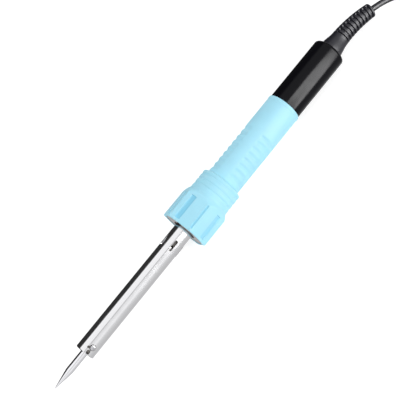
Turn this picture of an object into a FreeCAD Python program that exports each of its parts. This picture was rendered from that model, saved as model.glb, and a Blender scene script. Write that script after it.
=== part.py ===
import FreeCAD, Part
import math
import os
import Sketcher
from FreeCAD import Placement, Rotation, Vector

# A pencil-shaped mains soldering iron, lying on a surface with its bit towards -X and its cord
# towards +X. Millimetres, +Z up.
#
# The iron itself is drawn straight along its own X axis, where station 0 is just behind the front
# face of the grip's hexagonal collar. IRON then lays it down: it rests on the rear edge of one collar flat and
# on the rear end of the handle, so its bit is tipped up a little. The cord, its hank and the plug
# are drawn where they lie.

doc = FreeCAD.newDocument("soldering_iron")
sheet = doc.addObject("Spreadsheet::Sheet", "Sizes")

size = {
    # stations along the iron
    "bit_point": -106.8,
    "bit_shoulder": -95.3,
    "bit_rear": -38.0,
    "barrel_front": -83.1,
    "barrel_rear": 12.0,
    "screw_station": -78.4,
    "bush_front": -82.3,
    "bush_rear": -73.5,
    "heater_rear": -12.0,
    "vent_front": -14.4,
    "vent_rear": -7.7,
    "collar_front": -0.5,
    "collar_rear": 20.0,
    "ring_rear": 32.5,
    "rib_zone_rear": 65.7,
    "grip_rear": 87.0,
    "handle_rear": 128.4,
    "cone_rear": 137.8,
    "core_rear": 112.0,
    "origin_station": 28.07,
    # bit and barrel
    "bit_radius": 2.1,
    "bit_tip_radius": 0.25,
    "bit_chamfer": 0.4,
    "barrel_radius": 5.5,
    "barrel_wall": 0.4,
    "barrel_lip": 0.5,
    "vent_width": 1.75,
    "notch_length": 2.9,
    "notch_width": 2.0,
    "punched_radius": 0.7,
    "bush_clearance": 0.05,
    "heater_tube_bore": 2.2,
    "heater_tube_radius": 2.6,
    "inner_mica_radius": 3.2,
    "winding_radius": 3.7,
    "winding_groove": 0.35,
    "winding_pitch": 2.8,
    "outer_mica_radius": 4.7,
    "screw_radius": 1.2,
    "screw_clearance": 0.05,
    "screw_hole_radius": 1.8,
    "screw_head_radius": 1.45,
    "screw_slot_width": 0.45,
    "screw_slot_depth": 0.5,
    # front of the handle
    "cover_radius": 12.2,
    "cover_seat_radius": 11.4,
    "cover_front": -0.3,
    "cover_step": 0.7,
    "cover_rear": 2.6,
    "cover_bore": 6.7,
    "flange_front": 4.2,
    "flange_rear": 5.2,
    "flange_radius": 10.1,
    "neck_radius": 6.1,
    "neck_rear": 10.0,
    "flange_screw_circle": 8.25,
    "flange_screw_radius": 1.0,
    "flange_screw_head": 1.7,
    "flange_screw_length": 7.0,
    "block_radius": 10.2,
    "block_rear": 14.0,
    "core_radius": 7.5,
    "core_bore": 6.3,
    # grip
    "collar_corner": 14.72,
    "corner_proud": 0.4,
    "recess_front": 1.1,
    "recess_rear": 16.0,
    "recess_half": 1.5,
    "recess_aside": 3.05,
    "side_recess_aside": 2.2,
    "recess_depth": 0.7,
    "corner_groove_half": 0.6,
    "corner_groove_floor": 14.0,
    "corner_front": 15.8,
    "ring_radius": 12.0,
    "ring_groove": 0.3,
    "ring_pitch": 3.2,
    "rib_radius": 9.85,
    "rib_depth": 0.45,
    "rib_pitch": 3.85,
    "grip_end_radius": 10.0,
    # rear handle and strain relief
    "handle_radius": 9.5,
    "handle_edge": 1.8,
    "handle_clearance": 0.05,
    "handle_cavity": 7.0,
    "wall_front": 124.0,
    "relief_flange_front": 121.8,
    "relief_flange_radius": 6.9,
    "relief_base_radius": 6.4,
    "relief_waist_radius": 5.15,
    "relief_end_radius": 4.2,
    "relief_bend": 90.0,
    "relief_length": 24.4,
    "relief_rib_depth": 0.8,
    "cord_radius": 1.7,
    # inside the handle
    "lead_offset": 1.9,
    "lead_radius": 0.5,
    "lead_front": -11.8,
    "lead_rear": 65.5,
    "bead_radius": 4.0,
    "bead_length": 8.6,
    "bead_bore": 0.6,
    "bead_front": -11.0,
    "carrier_front": 56.0,
    "carrier_radius": 6.2,
    "block_seat": -3.25,
    "terminal_front": 58.0,
    "terminal_length": 16.0,
    "terminal_width": 8.4,
    "terminal_height": 6.0,
    "terminal_bore": 0.75,
    "terminal_screw_radius": 0.95,
    "conductor_radius": 0.7,
    "sheath_front": 90.0,
    "clamp_front": 96.0,
    "clamp_length": 6.0,
    "clamp_width": 9.4,
    "clamp_thickness": 1.3,
    "clamp_screw_offset": 3.0,
    "clamp_screw_radius": 0.9,
    "clamp_screw_head": 1.3,
    # hank and plug
    "hank_front": 176.0,
    "hank_run": 66.0,
    "hank_side": -2.0,
    "hank_inner": 8.5,
    "hank_outer": 18.7,
    "hank_height": 6.35,
    "hank_corner": 1.5,
    "tie_station": 205.0,
    "tie_width": 4.0,
    "tie_thickness": 0.6,
    "plug_start": 217.0,
    "plug_side": -2.0,
    "plug_middle": 12.85,
    "plug_relief_length": 15.0,
    "plug_length": 33.0,
    "plug_width": 26.0,
    "plug_neck_width": 12.0,
    "plug_shoulder": 13.0,
    "plug_height": 13.0,
    "plug_edge": 2.0,
    "pin_spacing": 18.6,
    "pin_radius": 2.0,
    "pin_length": 19.0,
    "pin_sleeve_length": 10.0,
    "pin_sleeve_radius": 1.75,
}

for row, (alias, number) in enumerate(size.items(), start=1):
    sheet.set(f"A{row}", alias.replace("_", " "))
    sheet.set(f"B{row}", str(number))
    sheet.setAlias(f"B{row}", alias)
doc.recompute()

# Angles about the iron's axis, in degrees from the top towards -Y.
SCREW_TURN = 40.2
NOTCH_TURN = 34.0
PUNCHED_TURN = 18.2
VENT_TURN = 29.2
VENTS = 5
FLANGE_SCREWS = 3
COLLAR_SIDES = 6
RECESSES = 3
SIDE_RECESS_TURN = 60.0
CORNER_GROOVE_TURN = 27.6
RING_GROOVES = 3
RIB_GROOVES = 8
WINDING_GROOVES = 19
BEADS = 5
RELIEF_RIBS = 10
RELIEF_DROOP = 15.0

# How the iron lies: the collar flat's rear edge and the handle's rear end both touch the surface.
FLAT_HEIGHT = size["collar_corner"] * math.cos(math.radians(30.0))
CORNER_TOP = size["collar_corner"] + size["corner_proud"]
CORNER_SLOPE = (CORNER_TOP - size["ring_radius"]) / (size["collar_rear"] - size["corner_front"])
FLAT_REAR = size["corner_front"] + (CORNER_TOP - FLAT_HEIGHT) / CORNER_SLOPE
HANDLE_CONTACT = size["handle_rear"] - size["handle_edge"]
TILT = math.degrees(
    math.atan2(FLAT_HEIGHT - size["handle_radius"], HANDLE_CONTACT - FLAT_REAR)
)
LYING = Rotation(Vector(0, 1, 0), TILT)
CONTACT = LYING.multVec(Vector(HANDLE_CONTACT, 0, -size["handle_radius"]))
ORIGIN = LYING.multVec(Vector(size["origin_station"], 0, 0))
IRON = Placement(Vector(-ORIGIN.x, 0, -CONTACT.z), LYING)

X_AXIS = Vector(1, 0, 0)
TO_X = Rotation(Vector(0, 1, 0), 90.0)
nodes = []


# ---------------------------------------------------------------- helpers


def value(expression):
    """The number that a sum of aliases and numbers, such as "bush_front - 1", comes to."""
    total = 0.0
    sign = 1.0
    for word in expression.split():
        if word in ("+", "-"):
            sign = 1.0 if word == "+" else -1.0
        else:
            total += sign * (size[word] if word in size else float(word))
    return total


def bound(expression):
    """The same sum, reading the spreadsheet's cells."""
    return " ".join("Sizes." + word if word in size else word for word in expression.split())


def new_body(label):
    body = doc.addObject("PartDesign::Body", label)
    body.Label = label
    return body


def origin_feature(body, role):
    return next(item for item in body.Origin.OriginFeatures if item.Role == role)


def attach(body, sketch, role, turn=0.0):
    """Lay a sketch on one of its body's own planes, turned about the body's X axis."""
    sketch.AttachmentSupport = [(origin_feature(body, role), "")]
    sketch.MapMode = "FlatFace"
    sketch.AttachmentOffset = Placement(Vector(), Rotation(X_AXIS, turn))


def pin_vertex(sketch, edge, x, y):
    """Bind the start of an edge to two sums of the sheet's cells."""
    for kind, place in (("DistanceX", x), ("DistanceY", y)):
        if value(place) == 0.0:
            axis = -2 if kind == "DistanceX" else -1
            sketch.addConstraint(Sketcher.Constraint("PointOnObject", edge, 1, axis))
            continue
        number = sketch.addConstraint(
            Sketcher.Constraint(kind, -1, 1, edge, 1, value(place))
        )
        if not place.replace(".", "").replace("-", "").strip().isdigit():
            sketch.setExpression(f"Constraints[{number}]", bound(place))


def add_outline(sketch, outline):
    """A closed outline of straight edges through points given as pairs of sums."""
    corners = [Vector(value(x), value(y), 0) for x, y in outline]
    first = sketch.GeometryCount
    count = len(corners)
    for index, corner in enumerate(corners):
        sketch.addGeometry(Part.LineSegment(corner, corners[(index + 1) % count]), False)
    for index in range(count):
        after = first + (index + 1) % count
        sketch.addConstraint(Sketcher.Constraint("Coincident", first + index, 2, after, 1))
    for index, (x, y) in enumerate(outline):
        pin_vertex(sketch, first + index, x, y)


def revolve(body, name, outline, cut=False):
    """Turn an outline of (station, radius) about the body's X axis, as material or as a cut."""
    sketch = body.newObject("Sketcher::SketchObject", name + "_outline")
    attach(body, sketch, "XZ_Plane")
    add_outline(sketch, outline)
    doc.recompute()
    kind = "PartDesign::Groove" if cut else "PartDesign::Revolution"
    feature = body.newObject(kind, name)
    feature.Profile = sketch
    feature.ReferenceAxis = (origin_feature(body, "X_Axis"), [""])
    feature.Angle = 360.0
    doc.recompute()
    return feature


def turned(label, outline):
    body = new_body(label)
    revolve(body, label + "_turning", outline)
    return body


def tube(label, front, rear, bore, radius):
    """A plain turned tube."""
    return turned(label, [(front, bore), (front, radius), (rear, radius), (rear, bore)])


def radial_pocket(body, name, sketch, depth):
    """Cut from the iron's axis outwards through one side."""
    before = body.Shape.Volume
    pocket = body.newObject("PartDesign::Pocket", name)
    pocket.Profile = sketch
    pocket.setExpression("Length", bound(depth))
    pocket.Reversed = True
    doc.recompute()
    if not body.Shape.Volume < before:
        raise ValueError(name + " cuts nothing")
    return pocket


def radial_hole(body, name, turn, station, radius):
    sketch = body.newObject("Sketcher::SketchObject", name + "_outline")
    attach(body, sketch, "XY_Plane", turn)
    centre = Vector(value(station), 0, 0)
    sketch.addGeometry(Part.Circle(centre, Vector(0, 0, 1), value(radius)), False)
    sketch.addConstraint(Sketcher.Constraint("PointOnObject", 0, 3, -1))
    number = sketch.addConstraint(
        Sketcher.Constraint("DistanceX", -1, 1, 0, 3, value(station))
    )
    sketch.setExpression(f"Constraints[{number}]", bound(station))
    number = sketch.addConstraint(Sketcher.Constraint("Radius", 0, value(radius)))
    sketch.setExpression(f"Constraints[{number}]", bound(radius))
    doc.recompute()
    return radial_pocket(body, name, sketch, "barrel_radius + 2")


def radial_slot(body, name, turn, front, rear, width):
    """A lengthways slot with round ends, cut through one side of a tube."""
    sketch = body.newObject("Sketcher::SketchObject", name + "_outline")
    attach(body, sketch, "XY_Plane", turn)
    half = value(width) / 2
    near = value(front) + half
    far = value(rear) - half
    up = Vector(0, 0, 1)
    half_circle = math.pi / 2
    sketch.addGeometry(
        [
            Part.LineSegment(Vector(near, half, 0), Vector(far, half, 0)),
            Part.ArcOfCircle(Part.Circle(Vector(far, 0, 0), up, half), -half_circle, half_circle),
            Part.LineSegment(Vector(far, -half, 0), Vector(near, -half, 0)),
            Part.ArcOfCircle(
                Part.Circle(Vector(near, 0, 0), up, half), half_circle, 3 * half_circle
            ),
        ],
        False,
    )
    for line, line_end, arc, arc_end in ((0, 2, 1, 2), (2, 1, 1, 1), (2, 2, 3, 2), (0, 1, 3, 1)):
        sketch.addConstraint(
            Sketcher.Constraint("Tangent", line, line_end, arc, arc_end)
        )
    sketch.addConstraint(Sketcher.Constraint("PointOnObject", 1, 3, -1))
    sketch.addConstraint(Sketcher.Constraint("PointOnObject", 3, 3, -1))
    sketch.addConstraint(Sketcher.Constraint("Horizontal", 0))
    for arc, centre, sum_of_cells in (
        (3, near, f"{bound(front)} + Sizes.{width} / 2"),
        (1, far, f"{bound(rear)} - Sizes.{width} / 2"),
    ):
        number = sketch.addConstraint(
            Sketcher.Constraint("DistanceX", -1, 1, arc, 3, centre)
        )
        sketch.setExpression(f"Constraints[{number}]", sum_of_cells)
    number = sketch.addConstraint(Sketcher.Constraint("Radius", 1, half))
    sketch.setExpression(f"Constraints[{number}]", f"Sizes.{width} / 2")
    doc.recompute()
    return radial_pocket(body, name, sketch, "barrel_radius + 2")


def around(body, name, feature, count):
    """Repeat a feature evenly round the body's X axis."""
    pattern = body.newObject("PartDesign::PolarPattern", name)
    pattern.Originals = [feature]
    pattern.Axis = (origin_feature(body, "X_Axis"), [""])
    pattern.Angle = 360.0
    pattern.Occurrences = count
    body.Tip = pattern
    doc.recompute()


def along(body, name, feature, pitch, count):
    """Repeat a feature along the body's X axis."""
    pattern = body.newObject("PartDesign::LinearPattern", name)
    pattern.Originals = [feature]
    pattern.Direction = (origin_feature(body, "X_Axis"), [""])
    pattern.Occurrences = count
    pattern.setExpression("Length", f"Sizes.{pitch} * {count - 1}")
    body.Tip = pattern
    doc.recompute()


def round_edge(body, name, station, radius, fillet):
    """Fillet the circular edge of a turned body at a station and radius."""
    base = body.Tip
    wanted = [
        f"Edge{number}"
        for number, edge in enumerate(base.Shape.Edges, start=1)
        if isinstance(edge.Curve, Part.Circle)
        and abs(edge.Curve.Radius - value(radius)) < 1e-3
        and abs(edge.Curve.Center.x - value(station)) < 1e-3
    ]
    feature = body.newObject("PartDesign::Fillet", name)
    feature.Base = (base, wanted)
    feature.setExpression("Radius", "Sizes." + fillet)
    doc.recompute()


def cylinder(label, radius, height, place=Placement()):
    item = doc.addObject("Part::Cylinder", label)
    item.setExpression("Radius", bound(radius))
    item.setExpression("Height", bound(height))
    item.Placement = place
    return item


def box(label, corner, length, width, height):
    """A box whose lowest corner and sides are sums of the sheet's cells."""
    item = doc.addObject("Part::Box", label)
    for side, expression in (("Length", length), ("Width", width), ("Height", height)):
        item.setExpression(side, bound(expression))
    for way, expression in zip("xyz", corner):
        item.setExpression(f"Placement.Base.{way}", expression)
    return item


def combine(kind, label, *items):
    """A Part boolean or compound of other objects."""
    doc.recompute()
    item = doc.addObject("Part::" + kind, label)
    if kind == "Cut":
        item.Base, item.Tool = items
    elif kind == "Compound":
        item.Links = list(items)
    else:
        item.Shapes = list(items)
    doc.recompute()
    return item


def keep(label, item, place=IRON):
    """Make an object a node of the model: name it and put it where it lies."""
    item.Label = label
    item.Placement = place
    nodes.append(item)
    return item


def keep_shape(label, shape, place=IRON):
    item = doc.addObject("Part::Feature", label)
    item.Shape = shape
    return keep(label, item, place)


# ---------------------------------------------------------------- bit, barrel and heater


def make_bit():
    bit = turned(
        "soldering_bit",
        [
            ("bit_point", "0"),
            ("bit_point + 0.08", "bit_tip_radius - 0.08"),
            ("bit_point + 0.3", "bit_tip_radius"),
            ("bit_shoulder", "bit_radius"),
            ("bit_rear - bit_chamfer", "bit_radius"),
            ("bit_rear", "bit_radius - bit_chamfer"),
            ("bit_rear", "0"),
        ],
    )
    keep("soldering_bit", bit)


def make_barrel():
    barrel = turned(
        "barrel_tube",
        [
            ("barrel_front", "barrel_radius - barrel_wall - barrel_lip"),
            ("barrel_front", "barrel_radius - barrel_lip"),
            ("barrel_front + barrel_lip", "barrel_radius"),
            ("barrel_rear", "barrel_radius"),
            ("barrel_rear", "barrel_radius - barrel_wall"),
            ("barrel_front + barrel_lip + 0.2", "barrel_radius - barrel_wall"),
        ],
    )
    radial_hole(barrel, "screw_hole", SCREW_TURN, "screw_station", "screw_hole_radius")
    radial_hole(barrel, "punched_hole", PUNCHED_TURN, "screw_station", "punched_radius")
    radial_slot(
        barrel,
        "end_notch",
        NOTCH_TURN,
        "barrel_front - 2",
        "barrel_front + notch_length",
        "notch_width",
    )
    vent = radial_slot(barrel, "vent", VENT_TURN, "vent_front", "vent_rear", "vent_width")
    around(barrel, "vents", vent, VENTS)
    keep("barrel_tube", barrel)


def make_bush():
    """The threaded bush in the barrel's mouth, which guides the bit and takes the set screw."""
    bush = turned(
        "front_bush",
        [
            ("bush_front", "bit_radius + bush_clearance"),
            ("bush_front", "barrel_radius - barrel_wall - barrel_lip"),
            ("bush_front + barrel_lip", "barrel_radius - barrel_wall"),
            ("bush_rear", "barrel_radius - barrel_wall"),
            ("bush_rear", "bit_radius + bush_clearance"),
        ],
    )
    radial_hole(
        bush, "screw_thread", SCREW_TURN, "screw_station", "screw_radius + screw_clearance"
    )
    keep("front_bush", bush)


def make_set_screw():
    """A slotted screw whose head stands in the barrel's hole, drawn along its own axis."""
    top = "barrel_radius + 0.6"
    screw = turned(
        "bit_set_screw",
        [
            ("bit_radius + 0.1", "0"),
            ("bit_radius + 0.1", "screw_radius - 0.4"),
            ("bit_radius + 0.5", "screw_radius"),
            ("barrel_radius - 0.3", "screw_radius"),
            ("barrel_radius - 0.3", "screw_head_radius"),
            (top + " - 0.35", "screw_head_radius"),
            (top, "screw_head_radius - 0.4"),
            (top, "0"),
        ],
    )
    slot = screw.newObject("Sketcher::SketchObject", "slot_outline")
    attach(screw, slot, "XY_Plane")
    add_outline(
        slot,
        [
            (top + " - screw_slot_depth", "-0.22"),
            (top + " + 1", "-0.22"),
            (top + " + 1", "0.22"),
            (top + " - screw_slot_depth", "0.22"),
        ],
    )
    cut = screw.newObject("PartDesign::Pocket", "slot")
    cut.Profile = slot
    cut.Midplane = True
    cut.Length = 8.0
    doc.recompute()
    radial = Rotation(Vector(1, 0, 0), SCREW_TURN).multiply(Rotation(Vector(0, 1, 0), -90.0))
    keep(
        "bit_set_screw",
        screw,
        IRON.multiply(Placement(Vector(size["screw_station"], 0, 0), radial)),
    )


def make_heater():
    keep(
        "heater_core_tube",
        tube("heater_core_tube", "bush_rear", "heater_rear", "heater_tube_bore", "heater_tube_radius"),
    )
    keep(
        "inner_mica_tube",
        tube(
            "inner_mica_tube",
            "bush_rear + 1",
            "heater_rear - 2",
            "heater_tube_radius",
            "inner_mica_radius",
        ),
    )
    winding = tube(
        "heater_winding",
        "bush_rear + 3",
        "heater_rear - 4",
        "inner_mica_radius",
        "winding_radius",
    )
    groove = revolve(
        winding,
        "turn_gap",
        [
            ("bush_rear + 5.1", "winding_radius - winding_groove"),
            ("bush_rear + 4.8", "winding_radius + 1"),
            ("bush_rear + 5.8", "winding_radius + 1"),
            ("bush_rear + 5.5", "winding_radius - winding_groove"),
        ],
        cut=True,
    )
    along(winding, "turn_gaps", groove, "winding_pitch", WINDING_GROOVES)
    keep("heater_winding", winding)
    keep(
        "outer_mica_tube",
        tube(
            "outer_mica_tube",
            "bush_rear + 2",
            "heater_rear - 3",
            "winding_radius",
            "outer_mica_radius",
        ),
    )


# ---------------------------------------------------------------- front of the handle


def make_flange():
    """The flanged collar brazed to the barrel, by which it is screwed to the handle."""
    flange = turned(
        "flange_turning",
        [
            ("flange_front", "barrel_radius"),
            ("flange_front", "flange_radius"),
            ("flange_rear", "flange_radius"),
            ("flange_rear", "neck_radius"),
            ("neck_rear", "neck_radius"),
            ("neck_rear", "barrel_radius"),
        ],
    )
    holes = [
        cylinder(
            f"flange_hole_{number}",
            "flange_screw_radius",
            "flange_rear - flange_front + 2",
            flange_screw_place(number, size["flange_front"] - 1),
        )
        for number in range(FLANGE_SCREWS)
    ]
    drilled = combine("Cut", "drilled_flange", flange, combine("Compound", "flange_holes", *holes))
    keep("barrel_flange", drilled)


def flange_screw_place(number, station):
    angle = math.radians(90.0 + number * 360.0 / FLANGE_SCREWS)
    ring = size["flange_screw_circle"]
    return Placement(Vector(station, ring * math.cos(angle), ring * math.sin(angle)), TO_X)


def make_flange_screws():
    screws = []
    for number in range(FLANGE_SCREWS):
        shank = cylinder(
            f"flange_screw_shank_{number}",
            "flange_screw_radius",
            "flange_screw_length",
            flange_screw_place(number, size["flange_front"]),
        )
        head = cylinder(
            f"flange_screw_head_{number}",
            "flange_screw_head",
            "flange_front - cover_rear - 0.4",
            flange_screw_place(number, size["cover_rear"] + 0.4),
        )
        screws.append(combine("MultiFuse", f"flange_screw_{number}", head, shank))
    keep("flange_screws", combine("Compound", "flange_screw_group", *screws))


def make_front_cover():
    cover = turned(
        "front_cover",
        [
            ("cover_front", "cover_bore"),
            ("cover_front", "cover_radius"),
            ("cover_step", "cover_radius"),
            ("cover_step", "cover_seat_radius"),
            ("cover_rear", "cover_seat_radius"),
            ("cover_rear", "cover_bore"),
        ],
    )
    keep("front_cover", cover)


def make_core():
    """The handle's inner tube, with a thick front end for the flange screws."""
    core = turned(
        "core_turning",
        [
            ("flange_rear", "core_bore"),
            ("flange_rear", "block_radius"),
            ("block_rear", "block_radius"),
            ("block_rear", "core_radius"),
            ("core_rear", "core_radius"),
            ("core_rear", "core_bore"),
        ],
    )
    holes = [
        cylinder(
            f"core_hole_{number}",
            "flange_screw_radius",
            "flange_screw_length",
            flange_screw_place(number, size["flange_front"]),
        )
        for number in range(FLANGE_SCREWS)
    ]
    drilled = combine("Cut", "drilled_core", core, combine("Compound", "core_holes", *holes))
    keep("handle_core", drilled)


def make_grip():
    """The soft sleeve: a six-sided collar, a grooved ring, a ribbed waist and a plain rear."""
    grip = new_body("grip_sleeve")
    hexagon = grip.newObject("PartDesign::AdditivePrism", "collar_hexagon")
    hexagon.Polygon = COLLAR_SIDES
    hexagon.setExpression("Circumradius", "Sizes.collar_corner")
    hexagon.setExpression("Height", "Sizes.collar_rear - Sizes.collar_front")
    front = Vector(size["collar_front"], 0, 0)
    hexagon.Placement = Placement(front, Rotation(Vector(1, 1, 1), 120.0))
    doc.recompute()
    revolve(
        grip,
        "corner_turning",
        [
            ("corner_front", "collar_corner + corner_proud"),
            ("corner_front", "collar_corner + 4"),
            ("collar_rear + 1", "collar_corner + 4"),
            ("collar_rear + 1", "ring_radius"),
            ("collar_rear", "ring_radius"),
        ],
        cut=True,
    )
    revolve(
        grip,
        "shaft",
        [
            ("block_rear", "core_radius"),
            ("block_rear", "ring_radius"),
            ("ring_rear", "ring_radius"),
            ("ring_rear + 1", "rib_radius"),
            ("rib_zone_rear", "rib_radius"),
            ("grip_rear - 2", "rib_radius"),
            ("grip_rear - 1", "grip_end_radius"),
            ("grip_rear", "grip_end_radius"),
            ("grip_rear", "core_radius"),
        ],
    )
    revolve(
        grip,
        "mouth",
        [
            ("collar_front - 1", "0"),
            ("collar_front - 1", "cover_radius"),
            ("cover_step", "cover_radius"),
            ("cover_step", "cover_seat_radius"),
            ("cover_rear", "cover_seat_radius"),
            ("cover_rear", "block_radius"),
            ("block_rear", "block_radius"),
            ("block_rear", "core_radius"),
            ("grip_rear + 1", "core_radius"),
            ("grip_rear + 1", "0"),
        ],
        cut=True,
    )
    recess_floor = FLAT_HEIGHT - size["recess_depth"]
    for name, turn, floor, low, high in (
        ("recess", 0.0, recess_floor, "recess_aside - recess_half", "recess_aside + recess_half"),
        (
            "side_recess",
            SIDE_RECESS_TURN,
            recess_floor,
            "- side_recess_aside - recess_half",
            "- side_recess_aside + recess_half",
        ),
        (
            "corner_groove",
            CORNER_GROOVE_TURN,
            size["corner_groove_floor"],
            "- corner_groove_half",
            "corner_groove_half",
        ),
    ):
        collar_slot(grip, name, turn, floor, low, high)
    groove = revolve(
        grip,
        "ring_groove_cut",
        [
            ("collar_rear + 3.2", "ring_radius - ring_groove"),
            ("collar_rear + 2.7", "ring_radius + 1"),
            ("collar_rear + 4.3", "ring_radius + 1"),
            ("collar_rear + 3.8", "ring_radius - ring_groove"),
        ],
        cut=True,
    )
    along(grip, "ring_grooves", groove, "ring_pitch", RING_GROOVES)
    groove = revolve(
        grip,
        "rib_groove_cut",
        [
            ("ring_rear + 3.5", "rib_radius - rib_depth"),
            ("ring_rear + 2.2", "rib_radius + 1"),
            ("ring_rear + 6.2", "rib_radius + 1"),
            ("ring_rear + 4.9", "rib_radius - rib_depth"),
        ],
        cut=True,
    )
    along(grip, "rib_grooves", groove, "rib_pitch", RIB_GROOVES)
    keep("grip_sleeve", grip)


def collar_slot(grip, name, turn, floor, low, high):
    """A lengthways slot cut into the collar from outside, repeated on every other side."""
    sketch = grip.newObject("Sketcher::SketchObject", name + "_outline")
    attach(grip, sketch, "XY_Plane", turn)
    swing = Rotation(X_AXIS, turn)
    sketch.AttachmentOffset = Placement(swing.multVec(Vector(0, 0, floor)), swing)
    corners = [("recess_front", low), ("recess_rear", low), ("recess_rear", high)]
    add_outline(sketch, corners + [("recess_front", high)])
    doc.recompute()
    pocket = radial_pocket(grip, name, sketch, "recess_depth + 1")
    around(grip, name + "_ring", pocket, RECESSES)


# ---------------------------------------------------------------- rear of the handle


def make_rear_handle():
    handle = turned(
        "rear_handle",
        [
            ("grip_rear", "core_radius + handle_clearance"),
            ("grip_rear", "handle_radius"),
            ("handle_rear", "handle_radius"),
            ("handle_rear", "relief_base_radius"),
            ("wall_front", "relief_base_radius"),
            ("wall_front", "handle_cavity"),
            ("core_rear + 0.5", "handle_cavity"),
            ("core_rear + 0.5", "core_radius + handle_clearance"),
        ],
    )
    round_edge(handle, "rear_edge", "handle_rear", "handle_radius", "handle_edge")
    keep("rear_handle", handle)


def relief_frame(way):
    """Centre and direction of the cord's path at a distance past the relief's cone."""
    bend = size["relief_bend"]
    turn = way / bend
    droop = math.radians(RELIEF_DROOP)
    aside = Vector(0, -math.cos(droop), -math.sin(droop))
    centre = Vector(size["cone_rear"] + bend * math.sin(turn), 0, 0)
    centre = centre + aside * (bend * (1 - math.cos(turn)))
    return centre, X_AXIS * math.cos(turn) + aside * math.sin(turn)


def relief_path(start):
    """The cord's path through the relief: straight from a station, then one arc."""
    length = size["relief_length"]
    bend_start, _ = relief_frame(0.0)
    middle, _ = relief_frame(length / 2)
    end, _ = relief_frame(length)
    line = Part.LineSegment(Vector(start, 0, 0), bend_start).toShape()
    arc = Part.Arc(bend_start, middle, end).toShape()
    return Part.Wire([line, arc])


def pipe(path, radius):
    """A round solid along a path."""
    start = path.Edges[0].valueAt(path.Edges[0].FirstParameter)
    way = path.Edges[0].tangentAt(path.Edges[0].FirstParameter)
    section = Part.Wire([Part.Circle(start, way, radius).toShape()])
    return path.makePipeShell([section], True, True)


def make_strain_relief():
    """A soft sleeve: an inner flange and a cone, then ribs along a bend."""
    base = size["relief_base_radius"]
    waist = size["relief_waist_radius"]
    end = size["relief_end_radius"]
    length = size["relief_length"]
    rib_depth = size["relief_rib_depth"]
    flange_front = size["relief_flange_front"]
    wall_front = size["wall_front"]
    handle_rear = size["handle_rear"]
    solids = [
        Part.makeCylinder(
            size["relief_flange_radius"],
            wall_front - flange_front,
            Vector(flange_front, 0, 0),
            X_AXIS,
        ),
        Part.makeCylinder(base, handle_rear - wall_front, Vector(wall_front, 0, 0), X_AXIS),
        Part.makeCone(
            base, waist, size["cone_rear"] - handle_rear, Vector(handle_rear, 0, 0), X_AXIS
        ),
    ]
    sections = []
    steps = 6
    for step in range(steps + 1):
        way = length * step / steps
        radius = waist + (end - waist) * step / steps - rib_depth
        centre, direction = relief_frame(way)
        sections.append(Part.Wire([Part.Circle(centre, direction, radius).toShape()]))
    solids.append(Part.makeLoft(sections, True, False))
    pitch = length / RELIEF_RIBS
    for rib in range(RELIEF_RIBS):
        way = pitch * (rib + 0.45)
        radius = waist + (end - waist) * way / length
        centre, direction = relief_frame(way)
        solids.append(Part.makeCylinder(radius, pitch * 0.55, centre, direction))
    whole = solids[0].multiFuse(solids[1:])
    bore = pipe(relief_path(flange_front - 1), size["cord_radius"])
    keep_shape("strain_relief", whole.cut(bore).removeSplitter())


# ---------------------------------------------------------------- inside the handle


def make_leads():
    """Two heater leads and the twin-bored ceramic beads that they run through."""
    side = size["lead_offset"]
    for label, offset in (("heater_lead_live", side), ("heater_lead_neutral", -side)):
        lead = cylinder(
            label + "_wire",
            "lead_radius",
            "lead_rear - lead_front",
            Placement(Vector(size["lead_front"], offset, 0), TO_X),
        )
        keep(label, combine("Compound", label, lead))
    beads = []
    for number in range(BEADS):
        station = size["bead_front"] + number * (size["bead_length"] + 0.4)
        bead = cylinder(
            f"bead_{number}", "bead_radius", "bead_length", Placement(Vector(station, 0, 0), TO_X)
        )
        bores = [
            cylinder(
                f"bead_bore_{number}_{way}",
                "bead_bore",
                "bead_length + 2",
                Placement(Vector(station - 1, offset, 0), TO_X),
            )
            for way, offset in enumerate((side, -side))
        ]
        bores = combine("Compound", f"bead_bores_{number}", *bores)
        beads.append(combine("Cut", f"bored_bead_{number}", bead, bores))
    keep("ceramic_beads", combine("Compound", "bead_string", *beads))


def make_carrier():
    """The tray that carries the terminal block and the cord clamp inside the core."""
    round_bar = cylinder(
        "carrier_bar",
        "carrier_radius",
        "core_rear - carrier_front",
        Placement(Vector(size["carrier_front"], 0, 0), TO_X),
    )
    above_tray = box(
        "above_tray",
        ("Sizes.carrier_front - 1", "-10", "Sizes.block_seat"),
        "clamp_front - carrier_front",
        "20",
        "20",
    )
    above_clamp = box(
        "above_clamp",
        ("Sizes.clamp_front - 2", "-10", "Sizes.cord_radius - 0.4"),
        "clamp_length + 2",
        "20",
        "20",
    )
    behind_clamp = box(
        "behind_clamp",
        ("Sizes.clamp_front + Sizes.clamp_length", "-10", "-Sizes.cord_radius - 0.3"),
        "core_rear - clamp_front",
        "20",
        "20",
    )
    channel = box(
        "cord_channel",
        ("Sizes.clamp_front - 2", "-Sizes.cord_radius", "-Sizes.cord_radius"),
        "clamp_length + 3",
        "cord_radius + cord_radius",
        "20",
    )
    holes = clamp_screw_cylinders("carrier_hole")
    cuts = combine(
        "MultiFuse", "carrier_cuts", above_tray, above_clamp, behind_clamp, channel, *holes
    )
    keep("terminal_carrier", combine("Cut", "carrier", round_bar, cuts))


def clamp_screw_cylinders(name):
    """The two upright screw shanks beside the cord."""
    middle = size["clamp_front"] + size["clamp_length"] / 2
    side = size["clamp_screw_offset"]
    return [
        cylinder(
            f"{name}_{number}",
            "clamp_screw_radius",
            "cord_radius + clamp_thickness + 3",
            Placement(Vector(middle, offset, -3.0), Rotation()),
        )
        for number, offset in enumerate((side, -side))
    ]


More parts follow.
